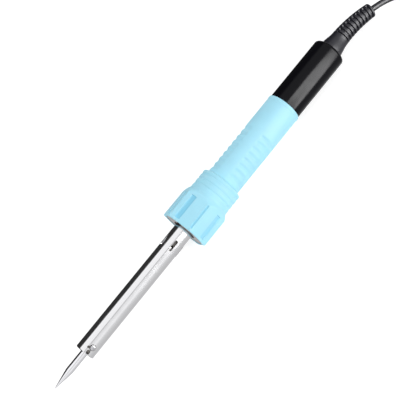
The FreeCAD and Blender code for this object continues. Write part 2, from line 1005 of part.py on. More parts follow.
def make_cord_clamp():
    bar = box(
        "clamp_bar",
        ("Sizes.clamp_front", "-Sizes.clamp_width / 2", "Sizes.cord_radius"),
        "clamp_length",
        "clamp_width",
        "clamp_thickness",
    )
    holes = combine("Compound", "clamp_holes", *clamp_screw_cylinders("clamp_hole"))
    keep("cord_clamp", combine("Cut", "drilled_clamp", bar, holes))
    top = size["cord_radius"] + size["clamp_thickness"]
    screws = []
    for number, shank in enumerate(clamp_screw_cylinders("clamp_shank")):
        place = Placement(Vector(shank.Placement.Base.x, shank.Placement.Base.y, top), Rotation())
        head = cylinder(f"clamp_screw_head_{number}", "clamp_screw_head", "0.9", place)
        screws.append(combine("MultiFuse", f"clamp_screw_{number}", shank, head))
    keep("clamp_screws", combine("Compound", "clamp_screw_group", *screws))


def make_terminal_block():
    block = box(
        "terminal_body",
        ("Sizes.terminal_front", "-Sizes.terminal_width / 2", "Sizes.block_seat"),
        "terminal_length",
        "terminal_width",
        "terminal_height",
    )
    side = size["lead_offset"]
    front = size["terminal_front"]
    cuts = []
    screws = []
    for offset in (side, -side):
        cuts.append(
            cylinder(
                f"wire_bore_{len(cuts)}",
                "terminal_bore",
                "terminal_length + 2",
                Placement(Vector(front - 1, offset, 0), TO_X),
            )
        )
        for station in (front + 4.0, front + 12.0):
            foot = Placement(Vector(station, offset, size["conductor_radius"] + 0.1), Rotation())
            cuts.append(
                cylinder(f"screw_bore_{len(cuts)}", "terminal_screw_radius", "terminal_height", foot)
            )
            screws.append(
                cylinder(f"terminal_screw_{len(screws)}", "terminal_screw_radius", "1.8", foot)
            )
    cuts = combine("MultiFuse", "terminal_cuts", *cuts)
    keep("terminal_block", combine("Cut", "bored_terminal", block, cuts))
    keep("terminal_screws", combine("Compound", "terminal_screw_group", *screws))


def make_cord_end():
    """The sheathed end of the cord inside the handle, and its two bared cores."""
    side = size["lead_offset"]
    terminal_middle = size["terminal_front"] + size["terminal_length"] / 2
    sheath = size["sheath_front"]
    for label, way in (("cord_core_live", 1.0), ("cord_core_neutral", -1.0)):
        close = way * size["conductor_radius"] * 1.08
        route = [
            Vector(terminal_middle + 0.5, way * side, 0),
            Vector(terminal_middle + 9.5, way * side, 0),
            Vector(sheath - 4.0, close, 0),
            Vector(sheath, close, 0),
        ]
        keep_shape(label, pipe(smooth_path(route, label), size["conductor_radius"]))
    keep_shape("cord_tail", pipe(relief_path(sheath), size["cord_radius"]))


# ---------------------------------------------------------------- cord, hank and plug


def smooth_path(route, label):
    """Straight runs joined by tangent arcs, each as large as its two runs allow."""
    edges = []
    radii = []
    here = route[0]
    for before, corner, after in zip(route, route[1:], route[2:]):
        come = (corner - before).normalize()
        leave = (after - corner).normalize()
        half_turn = come.getAngle(leave) / 2
        set_back = 0.45 * min((corner - before).Length, (after - corner).Length)
        radius = set_back / math.tan(half_turn)
        radii.append(radius)
        arc_start = corner - come * set_back
        arc_end = corner + leave * set_back
        inwards = (leave - come).normalize()
        arc_middle = corner + inwards * (radius / math.cos(half_turn) - radius)
        edges.append(Part.LineSegment(here, arc_start).toShape())
        edges.append(Part.Arc(arc_start, arc_middle, arc_end).toShape())
        here = arc_end
    edges.append(Part.LineSegment(here, route[-1]).toShape())
    path = Part.Wire(edges)
    print(label, "length", round(path.Length, 1), "arc radii", [round(r, 1) for r in radii])
    return path


def make_free_cord():
    """The cord from the strain relief into the hank, and from the hank to the plug."""
    radius = size["cord_radius"]
    end, way = relief_frame(size["relief_length"])
    start = IRON.multVec(end)
    heading = IRON.Rotation.multVec(way)
    print("cord exit", start, "heading", heading)
    to_hank = [start, start + heading * FIRST_RUN]
    to_hank += [Vector(x, y, z) for x, y, z in CORD_ROUTE]
    to_plug = [Vector(x, y, z) for x, y, z in PLUG_ROUTE]
    for label, route in (("cord_tube", to_hank), ("cord_plug_end", to_plug)):
        path = smooth_path(route, label)
        solid = pipe(path, radius)
        expected = math.pi * radius * radius * path.Length
        print(label, "volume over section times length", round(solid.Volume / expected, 4))
        keep_shape(label, solid, Placement())


# Where the free cord goes once it has left the strain relief straight for its first run.
FIRST_RUN = 8.0
CORD_ROUTE = [
    (149.0, -8.8, 5.6),
    (156.4, -13.3, 3.7),
    (163.8, -17.1, 2.1),
    (171.8, -18.9, 1.75),
    (180.0, -19.0, 1.7),
]
# Where its other end rises from the hank's top and runs into the plug.
PLUG_ROUTE = [
    (176.0, -15.6, 7.6),
    (185.0, -15.3, 7.9),
    (193.3, -11.8, 9.2),
    (201.0, -6.4, 11.3),
    (209.0, -2.8, 12.6),
    (217.0, -2.0, 12.85),
]


def stadium(radius, front=0.0, height=size["hank_height"]):
    """A slab with round ends, as long as the hank's straight runs and its two folds."""
    run = size["hank_run"]
    slab = Part.makeBox(run, 2 * radius, height, Vector(front, -radius, 0))
    ends = [Part.makeCylinder(radius, height, Vector(x, 0, 0)) for x in (front, front + run)]
    return slab.multiFuse(ends).removeSplitter()


def make_hank():
    """The outer shape of the folded cord, and the tie that holds it."""
    ring = stadium(size["hank_outer"]).cut(stadium(size["hank_inner"]))
    rims = [edge for edge in ring.Edges if edge.BoundBox.ZLength < size["hank_corner"]]
    ring = ring.makeChamfer(size["hank_corner"], rims)
    place = Placement(Vector(size["hank_front"], size["hank_side"], 0), Rotation())
    keep_shape("cord_hank", ring, place)

    thickness = size["tie_thickness"]
    outside = strap_block(thickness, 0.0)
    inside = strap_block(0.0, thickness)
    place = Placement(Vector(size["tie_station"], size["hank_side"], 0), Rotation())
    keep_shape("cord_tie", outside.cut(inside), place)


def strap_block(proud, low):
    """The hank's cross section, standing proud of it, as long as the tie is wide."""
    half = size["hank_outer"] + proud
    width = size["tie_width"]
    height = size["hank_height"] + proud - low
    block = Part.makeBox(width, 2 * half, height, Vector(-width / 2, -half, low))
    long_edges = [edge for edge in block.Edges if edge.BoundBox.XLength > width / 2]
    return block.makeChamfer(size["hank_corner"], long_edges)


def make_plug():
    """A flat two-pin plug lying on the hank, pins towards +X."""
    relief_length = size["plug_relief_length"]
    place = Placement(
        Vector(size["plug_start"], size["plug_side"], size["plug_middle"]), Rotation()
    )

    relief = turned(
        "plug_relief",
        [
            ("0", "0"),
            ("0", "cord_radius + 0.9"),
            ("plug_relief_length", "cord_radius + 2.6"),
            ("plug_relief_length", "0"),
        ],
    )
    keep("plug_relief", relief, place)

    body = new_body("plug_body")
    sketch = body.newObject("Sketcher::SketchObject", "plug_outline")
    attach(body, sketch, "XY_Plane")
    half = size["plug_width"] / 2
    neck = size["plug_neck_width"] / 2
    front = "plug_relief_length + plug_length"
    shoulder = "plug_relief_length + plug_shoulder"
    add_outline(
        sketch,
        [
            ("plug_relief_length", f"-{neck}"),
            (shoulder, f"-{half}"),
            (front, f"-{half}"),
            (front, f"{half}"),
            (shoulder, f"{half}"),
            ("plug_relief_length", f"{neck}"),
        ],
    )
    doc.recompute()
    pad = body.newObject("PartDesign::Pad", "plug_block")
    pad.Profile = sketch
    pad.Midplane = True
    pad.setExpression("Length", "Sizes.plug_height")
    doc.recompute()
    edges = [f"Edge{number + 1}" for number, _ in enumerate(pad.Shape.Edges)]
    fillet = body.newObject("PartDesign::Fillet", "plug_edges")
    fillet.Base = (pad, edges)
    fillet.setExpression("Radius", "Sizes.plug_edge")
    doc.recompute()
    keep("plug_body", body, place)

    face = relief_length + size["plug_length"]
    spacing = size["pin_spacing"] / 2
    pins = []
    sleeves = []
    for number, offset in enumerate((spacing, -spacing)):
        foot = Placement(Vector(face, offset, 0), TO_X)
        core = cylinder(f"pin_core_{number}", "pin_sleeve_radius - 0.5", "pin_sleeve_length", foot)
        bare = cylinder(
            f"pin_bare_{number}",
            "pin_radius",
            "pin_length - pin_sleeve_length - 1",
            Placement(Vector(face + size["pin_sleeve_length"], offset, 0), TO_X),
        )
        nose = doc.addObject("Part::Cone", f"pin_nose_{number}")
        nose.setExpression("Radius1", "Sizes.pin_radius")
        nose.setExpression("Radius2", "Sizes.pin_radius - 0.8")
        nose.Height = 1.0
        nose.Placement = Placement(Vector(face + size["pin_length"] - 1, offset, 0), TO_X)
        pins.append(combine("MultiFuse", f"pin_{number}", core, bare, nose))
        outside = cylinder(
            f"sleeve_outside_{number}", "pin_sleeve_radius", "pin_sleeve_length", foot
        )
        bore = cylinder(
            f"sleeve_bore_{number}", "pin_sleeve_radius - 0.5", "pin_sleeve_length", foot
        )
        sleeves.append(combine("Cut", f"pin_sleeve_{number}", outside, bore))
    keep("plug_pins", combine("Compound", "pin_pair", *pins), place)
    keep("plug_pin_sleeves", combine("Compound", "sleeve_pair", *sleeves), place)


# ---------------------------------------------------------------- build, check and write

make_bit()
make_barrel()
make_bush()
make_set_screw()
make_heater()
make_flange()
make_flange_screws()
make_front_cover()
make_core()
make_grip()
make_rear_handle()
make_strain_relief()
make_leads()
make_carrier()
make_cord_clamp()
make_terminal_block()
make_cord_end()
make_free_cord()
make_hank()
make_plug()

doc.recompute()
for item in doc.Objects:
    if "Invalid" in item.State or "Error" in item.State:
        raise ValueError(f"{item.Label} failed: {item.State}")

os.makedirs("parts", exist_ok=True)
for item in nodes:
    if item.Shape.isNull() or not item.Shape.isValid():
        raise ValueError(item.Label + " has no valid shape")
    item.Shape.exportStep(f"parts/{item.Label}.step")
    print(item.Label, "solids", len(item.Shape.Solids), "volume", round(item.Shape.Volume, 1))
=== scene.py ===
"""Looks for a pencil-shaped mains soldering iron: steel barrel, blue soft grip, black rear handle.

Lengths in the tables below are millimetres; MM turns them into Blender's metres. The iron is drawn
along its own axis: a station is a distance along it towards the cord, from a point 0.5 mm behind the
front face of the grip's collar, and a turn is an angle in degrees about the axis, from the top
towards -Y.
"""

import math

import bpy
from mathutils import Matrix, Vector


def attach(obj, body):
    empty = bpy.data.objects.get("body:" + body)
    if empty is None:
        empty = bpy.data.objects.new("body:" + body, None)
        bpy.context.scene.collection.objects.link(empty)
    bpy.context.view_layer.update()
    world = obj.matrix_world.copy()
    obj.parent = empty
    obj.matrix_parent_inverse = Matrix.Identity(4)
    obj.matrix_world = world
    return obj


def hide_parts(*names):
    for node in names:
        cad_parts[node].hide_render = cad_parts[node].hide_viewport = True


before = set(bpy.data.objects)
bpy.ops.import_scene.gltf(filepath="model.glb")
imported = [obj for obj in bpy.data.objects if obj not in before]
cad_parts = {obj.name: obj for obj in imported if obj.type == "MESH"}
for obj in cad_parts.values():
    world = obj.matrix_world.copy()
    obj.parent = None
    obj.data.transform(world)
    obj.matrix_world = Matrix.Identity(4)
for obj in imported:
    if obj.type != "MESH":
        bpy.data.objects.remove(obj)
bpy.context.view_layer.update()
MM = 0.001
SIDES = 160
GRIP_SIDES = 432

# ---------------------------------------------------------------- how the iron lies

IRON_TILT = math.radians(1.72883)
ORIGIN_STATION = 28.07
AXIS_HEIGHT = 13.3151
AXIS = Vector((math.cos(IRON_TILT), 0, -math.sin(IRON_TILT)))
UP = Vector((math.sin(IRON_TILT), 0, math.cos(IRON_TILT)))
SIDE = Vector((0, -1, 0))
FOOT = Vector((-ORIGIN_STATION * math.cos(IRON_TILT), 0, AXIS_HEIGHT))

# ---------------------------------------------------------------- sizes

BIT_POINT = -106.8
BIT_SHOULDER = -95.3
BIT_REAR = -38.0
BIT_RADIUS = 2.1
BARREL_FRONT = -83.1
BARREL_REAR = 12.0
BARREL_RADIUS = 5.5
BARREL_BORE = 5.1
BARREL_MOUTH = 5.0
SCREW_STATION = -78.4
SCREW_TURN = 40.2
SCREW_HOLE = 1.8
SCREW_HEAD = 1.45
SCREW_SHANK = 1.2
SCREW_TOP = 6.1
NOTCH_TURN = 34.0
NOTCH_LENGTH = 2.9
NOTCH_WIDTH = 2.0
PUNCHED_TURN = 18.2
PUNCHED_RADIUS = 0.7
VENT_TURN = 29.2
VENT_FRONT = -14.4
VENT_REAR = -7.7
VENT_WIDTH = 1.75
VENTS = 5
COVER_FRONT = -0.3
COVER_STEP = 0.7
COVER_REAR = 2.6
COVER_BORE = 6.7
COVER_RADIUS = 12.2
COVER_SEAT = 11.4
COLLAR_FRONT = -0.5
COLLAR_FLAT = 12.748
COLLAR_CORNER = 14.72
COLLAR_EDGE = 0.9
COLLAR_REAR = 20.0
CORNER_FRONT = 15.8
CORNER_RADIUS = 15.12
RECESS_FRONT = 1.1
RECESS_REAR = 16.0
RECESS_HALF = 1.5
RECESS_ASIDE = 3.05
SIDE_RECESS_ASIDE = 2.2
RECESS_DEPTH = 0.7
CORNER_GROOVE_TURN = 27.6
CORNER_GROOVE_HALF = 0.8
CORNER_GROOVE_DEPTH = 0.45
RING_RADIUS = 12.0
RING_REAR = 32.5
RING_PITCH = 3.2
RING_GROOVE = 0.3
RIB_RADIUS = 9.85
RIB_PITCH = 3.85
RIB_GROOVE = 0.45
RIBS = 8
PAD_HALF = 18.0
GRIP_REAR = 87.0
GRIP_LIP = 10.0
BLOCK_RADIUS = 10.2
BLOCK_REAR = 14.0
CORE_RADIUS = 7.5
CORE_REAR = 112.1
HANDLE_REAR = 128.4
HANDLE_RADIUS = 9.48
HANDLE_EDGE = 1.8
HANDLE_CAVITY = 7.05
WALL_FRONT = 124.05
RELIEF_BASE = 6.4
RELIEF_WAIST = 5.15
RELIEF_END = 4.2
RELIEF_FLANGE = 6.9
RELIEF_FRONT = 121.8
CONE_REAR = 137.8
RELIEF_BEND = 90.0
RELIEF_DROOP = 15.0
RELIEF_LENGTH = 24.4
RELIEF_RIBS = 10
RELIEF_GROOVE = 1.0
SPINE_TURN = 45.0
SPINE_HALF = 13.0
CORD_RADIUS = 1.7


# ---------------------------------------------------------------- geometry helpers


def on_axis(station):
    return (FOOT + AXIS * station) * MM


def outwards(turn):
    angle = math.radians(turn)
    return UP * math.cos(angle) + SIDE * math.sin(angle)


def at(station, radius, turn):
    return on_axis(station) + outwards(turn) * (radius * MM)


def ease(value):
    """0 below 0, 1 above 1 and smooth between."""
    value = min(max(value, 0.0), 1.0)
    return value * value * (3.0 - 2.0 * value)


def soft_min(a, b, width):
    mix = max(width - abs(a - b), 0.0) / width
    return min(a, b) - mix * mix * width / 4.0


def soft_max(a, b, width):
    return -soft_min(-a, -b, width)


def spread(first, last, step):
    """Evenly spaced numbers from first to last, about step apart."""
    count = max(1, round((last - first) / step))
    return [first + (last - first) * i / count for i in range(count + 1)]


def rounded(corners, steps=6):
    """A line through (station, radius, rounding) corners, each rounded by a tangent arc."""
    line = []
    for index, (x, y, rounding) in enumerate(corners):
        here = Vector((x, y))
        if rounding == 0 or index in (0, len(corners) - 1):
            line.append(here)
            continue
        come = (Vector(corners[index - 1][:2]) - here).normalized()
        leave = (Vector(corners[index + 1][:2]) - here).normalized()
        half = come.angle(leave) / 2
        set_back = rounding / math.tan(half)
        centre = here + (come + leave).normalized() * (rounding / math.sin(half))
        first = here + come * set_back - centre
        last = here + leave * set_back - centre
        swing = first.angle(last)
        for step in range(steps + 1):
            share = step / steps
            a = math.sin((1 - share) * swing) / math.sin(swing)
            b = math.sin(share * swing) / math.sin(swing)
            line.append(centre + first * a + last * b)
    return line


def finish_mesh(name, points, faces, material, body, sharp=35.0):
    mesh = bpy.data.meshes.new(name)
    mesh.from_pydata(points, [], faces)
    mesh.validate()
    mesh.shade_smooth()
    mesh.set_sharp_from_angle(angle=math.radians(sharp))
    mesh.materials.append(material)
    piece = bpy.data.objects.new(name, mesh)
    bpy.context.scene.collection.objects.link(piece)
    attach(piece, body)
    return piece


def skin(name, rows, material, body, closed=False, capped=False, sharp=35.0):
    """A surface through rows of points, each row a ring."""
    width = len(rows[0])
    points = [point for row in rows for point in row]
    faces = []
    pairs = list(zip(range(len(rows)), range(1, len(rows))))
    if closed:
        pairs.append((len(rows) - 1, 0))
    for low, high in pairs:
        for index in range(width):
            after = (index + 1) % width
            faces.append(
                (
                    low * width + index,
                    high * width + index,
                    high * width + after,
                    low * width + after,
                )
            )
    if capped:
        faces.append(tuple(range(width)))
        last = (len(rows) - 1) * width
        faces.append(tuple(reversed(range(last, last + width))))
    return finish_mesh(name, points, faces, material, body, sharp)


def lathe(name, corners, material, body, closed=False, steps=6, sides=SIDES, sharp=35.0):
    """A turned piece about the iron's axis."""
    rows = []
    for station, radius in rounded(corners, steps):
        rows.append([at(station, max(radius, 0.001), 360 * i / sides) for i in range(sides)])
    return skin(name, rows, material, body, closed, not closed, sharp)


# ---------------------------------------------------------------- material helpers


def new_material(name, colour, roughness, metallic=0.0, specular=0.5):
    material = bpy.data.materials.new(name)
    material.use_nodes = True
    material.diffuse_color = (*colour, 1.0)
    shader = material.node_tree.nodes["Principled BSDF"]
    shader.inputs["Base Color"].default_value = (*colour, 1.0)
    shader.inputs["Roughness"].default_value = roughness
    shader.inputs["Metallic"].default_value = metallic
    shader.inputs["Specular IOR Level"].default_value = specular
    return material, shader


def add_node(material, kind, **inputs):
    node = material.node_tree.nodes.new(kind)
    for name, value in inputs.items():
        node.inputs[name.replace("_", " ")].default_value = value
    return node


def join(material, source, target):
    material.node_tree.links.new(source, target)


def iron_coordinates(material):
    """Object coordinates turned so that X runs along the iron."""
    coordinates = add_node(material, "ShaderNodeTexCoord")
    mapping = add_node(material, "ShaderNodeMapping")
    mapping.inputs["Rotation"].default_value = (0, -IRON_TILT, 0)
    join(material, coordinates.outputs["Object"], mapping.inputs["Vector"])
    return mapping.outputs["Vector"]


def noise(material, vector, scale, detail=3.0, stretch=(1, 1, 1)):
    mapping = add_node(material, "ShaderNodeMapping")
    mapping.inputs["Scale"].default_value = stretch
    texture = add_node(material, "ShaderNodeTexNoise", Scale=scale, Detail=detail)
    join(material, vector, mapping.inputs["Vector"])
    join(material, mapping.outputs["Vector"], texture.inputs["Vector"])
    return texture.outputs["Fac"]


def remap(material, source, low, high):
    node = add_node(material, "ShaderNodeMapRange", To_Min=low, To_Max=high)
    node.inputs["From Min"].default_value = 0.3
    node.inputs["From Max"].default_value = 0.7
    join(material, source, node.inputs["Value"])
    return node.outputs["Result"]


def bump(material, shader, source, height, strength=1.0):
    node = add_node(material, "ShaderNodeBump", Strength=strength, Distance=height * MM)
    join(material, source, node.inputs["Height"])
    join(material, node.outputs["Normal"], shader.inputs["Normal"])
    return node


def two_tone(material, shader, source, first, second):
    """Base colour that drifts between two colours with a noise."""
    mix = material.node_tree.nodes.new("ShaderNodeMix")
    mix.data_type = "RGBA"
    colours = [socket for socket in mix.inputs if socket.type == "RGBA"]
    colours[0].default_value = (*first, 1.0)
    colours[1].default_value = (*second, 1.0)
    result = next(socket for socket in mix.outputs if socket.type == "RGBA")
    join(material, source, mix.inputs["Factor"])
    join(material, result, shader.inputs["Base Color"])


def metal(name, colour, roughness, grain=(40, 1, 1), grain_height=0.004):
    """A polished metal with fine turning marks and slight smears."""
    material, shader = new_material(name, colour, roughness, 1.0)
    vector = iron_coordinates(material)
    marks = noise(material, vector, 90.0, 4.0, grain)
    smears = noise(material, vector, 160.0, 3.0)
    join(material, remap(material, smears, roughness * 0.75, roughness * 1.3), shader.inputs["Roughness"])
    bump(material, shader, marks, grain_height, 0.35)
    return material


def plastic(name, colour, roughness, specular, texture_scale=900.0, texture_height=0.01):
    """A moulded plastic or rubber with a fine surface and a slight change of tone."""
    material, shader = new_material(name, colour, roughness, 0.0, specular)
    vector = iron_coordinates(material)
    clouds = noise(material, vector, 120.0, 3.0)
    lighter = tuple(min(1.0, value * 1.06 + 0.0004) for value in colour)
    darker = tuple(value * 0.95 for value in colour)
    two_tone(material, shader, clouds, darker, lighter)
    join(material, remap(material, clouds, roughness * 0.85, roughness * 1.15), shader.inputs["Roughness"])
    fine = noise(material, vector, texture_scale, 2.0)
    bump(material, shader, fine, texture_height, 0.4)
    return material


# ---------------------------------------------------------------- materials


# The collar's slots and corner grooves are painted darker than light makes them: painted shade.
PAINTED_HOLLOW_SHADE = (0.66, 0.85, 0.92)
SIDE_SHADE = 0.5
GROOVE_SHADE = 0.8


def make_grip_blue():
    material = plastic("grip_blue", (0.39, 0.75, 0.90), 0.45, 0.22, 700.0, 0.02)
    shader = material.node_tree.nodes["Principled BSDF"]
    shader.inputs["Subsurface Weight"].default_value = 0.12
    shader.inputs["Subsurface Radius"].default_value = (0.4, 0.9, 1.0)
    shader.inputs["Subsurface Scale"].default_value = 0.0012
    shade_hollows(material, shader)
    return material


def shade_hollows(material, shader):
    """Darken the base colour with painted shade where the mesh marks the moulding's slots and grooves."""
    hollow_painted_shade = add_node(material, "ShaderNodeAttribute")
    hollow_painted_shade.attribute_name = "hollow_painted_shade"
    mix = material.node_tree.nodes.new("ShaderNodeMix")
    mix.data_type = "RGBA"
    mix.blend_type = "MULTIPLY"
    colour = shader.inputs["Base Color"].links[0].from_socket
    colours = [socket for socket in mix.inputs if socket.type == "RGBA"]
    # The multiplier colour of the painted shade in the slots and grooves.
    colours[1].default_value = (*PAINTED_HOLLOW_SHADE, 1.0)
    join(material, colour, colours[0])
    join(material, hollow_painted_shade.outputs["Fac"], mix.inputs["Factor"])
    result = next(socket for socket in mix.outputs if socket.type == "RGBA")
    join(material, result, shader.inputs["Base Color"])


BLUE = make_grip_blue()
STEEL = metal("barrel_steel", (0.86, 0.86, 0.87), 0.12, (0.3, 9, 9), 0.003)
PLATING = metal("bit_plating", (0.90, 0.90, 0.92), 0.12, (25, 1, 1), 0.003)
SCREW = metal("screw_steel", (0.56, 0.56, 0.58), 0.20, (1, 1, 1), 0.004)
BUSH = metal("bush_steel", (0.09, 0.085, 0.08), 0.50)
FLANGE = metal("flange_steel", (0.60, 0.60, 0.62), 0.30, (1, 1, 1), 0.006)
WIRE = metal("resistance_wire", (0.42, 0.38, 0.34), 0.35)
HEATER = metal("heater_steel", (0.50, 0.50, 0.50), 0.40)
TERMINAL_METAL = metal("terminal_screw_metal", (0.70, 0.66, 0.55), 0.28, (1, 1, 1), 0.004)
PIN_METAL = metal("pin_metal", (0.78, 0.78, 0.79), 0.20, (30, 1, 1), 0.004)
GLOSS_BLACK = plastic("handle_black", (0.0035, 0.0035, 0.005), 0.20, 0.11, 500.0, 0.004)
COVER = plastic("cover_black", (0.012, 0.011, 0.013), 0.22, 0.6, 500.0, 0.005)
CORE_BLACK = plastic("core_black", (0.014, 0.014, 0.015), 0.45, 0.4)
RUBBER = plastic("relief_black", (0.012, 0.012, 0.018), 0.40, 0.4, 800.0, 0.02)
CORD_BLACK = plastic("cord_black", (0.012, 0.012, 0.016), 0.36, 0.45, 600.0, 0.02)
TIE_BLACK = plastic("tie_black", (0.010, 0.010, 0.010), 0.30, 0.5)
PLUG_BLACK = plastic("plug_black", (0.011, 0.011, 0.013), 0.38, 0.45, 700.0, 0.03)
SLEEVE_BLACK = plastic("sleeve_black", (0.011, 0.011, 0.012), 0.42, 0.4)
MICA = plastic("mica", (0.62, 0.52, 0.34), 0.30, 0.5, 300.0, 0.03)
LEAD = plastic("lead_wire", (0.70, 0.68, 0.62), 0.55, 0.3, 900.0, 0.05)
# The ceramic beads are painted dark grey: painted shade for the dark seen through the barrel's vents.
CERAMIC_PAINTED_SHADE = plastic("ceramic", (0.10, 0.09, 0.08), 0.55, 0.4, 500.0, 0.03)
TERMINAL_WHITE = plastic("terminal_white", (0.76, 0.76, 0.72), 0.45, 0.4)
CORE_BROWN = plastic("core_brown", (0.16, 0.06, 0.025), 0.42, 0.4)
CORE_BLUE = plastic("core_blue", (0.03, 0.12, 0.42), 0.42, 0.4)

INNER_MATERIALS = {
    "front_bush": BUSH,
    "heater_core_tube": HEATER,
    "inner_mica_tube": MICA,
    "heater_winding": WIRE,
    "outer_mica_tube": MICA,
    "barrel_flange": FLANGE,
    "flange_screws": SCREW,
    "handle_core": CORE_BLACK,
    "heater_lead_live": LEAD,
    "heater_lead_neutral": LEAD,
    "ceramic_beads": CERAMIC_PAINTED_SHADE,
    "terminal_carrier": CORE_BLACK,
    "cord_clamp": CORE_BLACK,
    "clamp_screws": SCREW,
    "terminal_block": TERMINAL_WHITE,
    "terminal_screws": TERMINAL_METAL,
    "cord_core_live": CORE_BROWN,
    "cord_core_neutral": CORE_BLUE,
    "cord_tail": CORD_BLACK,
}


def finish_inner_nodes():
    for name, material in INNER_MATERIALS.items():
        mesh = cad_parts[name].data
        mesh.materials.clear()
        mesh.materials.append(material)


# ---------------------------------------------------------------- bit, screw and barrel


def make_bit():
    corners = [
        (BIT_POINT, 0.02, 0),
        (BIT_POINT + 0.05, 0.2, 0.12),
        (BIT_SHOULDER, BIT_RADIUS, 1.5),
        (BIT_REAR, BIT_RADIUS, 0.2),
        (BIT_REAR, 0.0, 0),
    ]
    bit = lathe("bit_turned", corners, PLATING, "bit", steps=8, sides=96)
    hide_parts("soldering_bit")


def screw_point(height, radius, angle):
    """A point of the set screw, whose own axis stands on the barrel's side."""
    out = outwards(SCREW_TURN)
    across = out.cross(AXIS)
    turn = math.radians(angle)
    flat = AXIS * math.cos(turn) + across * math.sin(turn)
    return on_axis(SCREW_STATION) + (out * height + flat * radius) * MM


def make_set_screw():
    """A slotted screw: its head domed a little, with the slot cut in by a boolean."""
    corners = [
        (BIT_RADIUS + 0.06, 0.0, 0),
        (BIT_RADIUS + 0.06, SCREW_SHANK, 0.15),
        (SCREW_TOP - 1.1, SCREW_SHANK, 0),
        (SCREW_TOP - 1.1, SCREW_HEAD, 0.08),
        (SCREW_TOP - 0.12, SCREW_HEAD, 0.2),
        (SCREW_TOP, 0.4, 0.3),
        (SCREW_TOP, 0.0, 0),
    ]
    rows = []
    for height, radius in rounded(corners):
        rows.append([screw_point(height, max(radius, 0.001), 360 * i / 72) for i in range(72)])
    screw = skin("set_screw_turned", rows, SCREW, "set_screw", capped=True)
    cut(screw, slot_cutter())
    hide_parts("bit_set_screw")


SLOT_ANGLE = 35.0
SLOT_DEPTH = 0.5
SLOT_REACH = 2.0
SLOT_HALF = 0.24


def slot_cutter():
    """A thin box across the screw's head, turned about the screw's axis."""
    out = outwards(SCREW_TURN)
    across = out.cross(AXIS)
    turn = math.radians(SLOT_ANGLE)
    long_way = AXIS * math.cos(turn) + across * math.sin(turn)
    thin_way = out.cross(long_way)
    centre = on_axis(SCREW_STATION) + out * (SCREW_TOP * MM)
    points = []
    for high in (-SLOT_DEPTH, SLOT_DEPTH):
        for long in (-SLOT_REACH, SLOT_REACH):
            for thin in (-SLOT_HALF, SLOT_HALF):
                points.append(centre + (out * high + long_way * long + thin_way * thin) * MM)
    return solid_box("slot_cutter", points)


def solid_box(name, points):
    faces = [(0, 1, 3, 2), (4, 6, 7, 5), (0, 4, 5, 1), (2, 3, 7, 6), (0, 2, 6, 4), (1, 5, 7, 3)]
    mesh = bpy.data.meshes.new(name)
    mesh.from_pydata(points, [], faces)
    cutter = bpy.data.objects.new(name, mesh)
    bpy.context.scene.collection.objects.link(cutter)
    return cutter


def cut(piece, cutter):
    """Subtract the cutter for good and remove it."""
    modifier = piece.modifiers.new("cut", "BOOLEAN")
    modifier.operation = "DIFFERENCE"
    modifier.solver = "EXACT"
    modifier.object = cutter
    bpy.context.view_layer.update()
    graph = bpy.context.evaluated_depsgraph_get()
    mesh = bpy.data.meshes.new_from_object(piece.evaluated_get(graph))
    piece.modifiers.remove(modifier)
    piece.data = mesh
    bpy.data.objects.remove(cutter)


# Heights between which the barrel is cut through: inside its wall, and outside it.
CUT_FROM = 3.2
CUT_TO = 8.0


def prism_cutter(name, outline, turn):
    """A prism standing on the barrel's axis: outline of (station, width) pairs, towards a turn."""
    out = outwards(turn)
    across = out.cross(AXIS)
    points = []
    for height in (CUT_FROM, CUT_TO):
        for station, width in outline:
            points.append(on_axis(station) + (out * height + across * width) * MM)
    count = len(outline)
    faces = [tuple(reversed(range(count))), tuple(range(count, 2 * count))]
    for index in range(count):
        after = (index + 1) % count
        faces.append((index, after, after + count, index + count))
    mesh = bpy.data.meshes.new(name)
    mesh.from_pydata(points, [], faces)
    return mesh


def round_outline(front, rear, width, steps=12):
    """A slot with round ends; a plain circle when it is as long as wide."""
    half = width / 2
    outline = []
    for centre, start in ((rear - half, -90.0), (front + half, 90.0)):
        for step in range(steps + 1):
            angle = math.radians(start + 180.0 * step / steps)
            outline.append((centre + half * math.cos(angle), half * math.sin(angle)))
    return outline


def barrel_cutters():
    screw_hole = round_outline(
        SCREW_STATION - SCREW_HOLE, SCREW_STATION + SCREW_HOLE + 0.01, 2 * SCREW_HOLE
    )
    yield prism_cutter("screw_hole", screw_hole, SCREW_TURN)
    notch = round_outline(BARREL_FRONT - 2.0, BARREL_FRONT + NOTCH_LENGTH, NOTCH_WIDTH)
    yield prism_cutter("notch", notch, NOTCH_TURN)
    middle = (SCREW_STATION + BARREL_FRONT + NOTCH_LENGTH) / 2
    punched = round_outline(
        middle - PUNCHED_RADIUS, middle + PUNCHED_RADIUS + 0.01, 2 * PUNCHED_RADIUS
    )
    yield prism_cutter("punched", punched, PUNCHED_TURN)
    for number in range(VENTS):
        vent = round_outline(VENT_FRONT, VENT_REAR, VENT_WIDTH)
        yield prism_cutter(f"vent_{number}", vent, VENT_TURN + 360.0 * number / VENTS)


# A face belongs to the barrel's round walls when it faces outwards or inwards this squarely.
ROUND_WALL = 0.985
LENGTHWAYS_LIMIT = 0.02


def true_barrel_normals(mesh):
    """Give the round walls their exact normals, so the cuts leave no dents in the shading."""
    start = on_axis(0)
    normals = []
    for face in mesh.polygons:
        flat = face.normal - AXIS * face.normal.dot(AXIS)
        for index in face.loop_indices:
            point = mesh.vertices[mesh.loops[index].vertex_index].co
            radial = point - start
            radial -= AXIS * radial.dot(AXIS)
            radial.normalize()
            slope = face.normal.dot(radial)
            lengthways = abs(face.normal.dot(AXIS))
            if abs(slope) > ROUND_WALL and lengthways < LENGTHWAYS_LIMIT and flat.length > 0:
                normals.append(radial * (1 if slope > 0 else -1))
            else:
                normals.append(face.normal)
    mesh.normals_split_custom_set(normals)


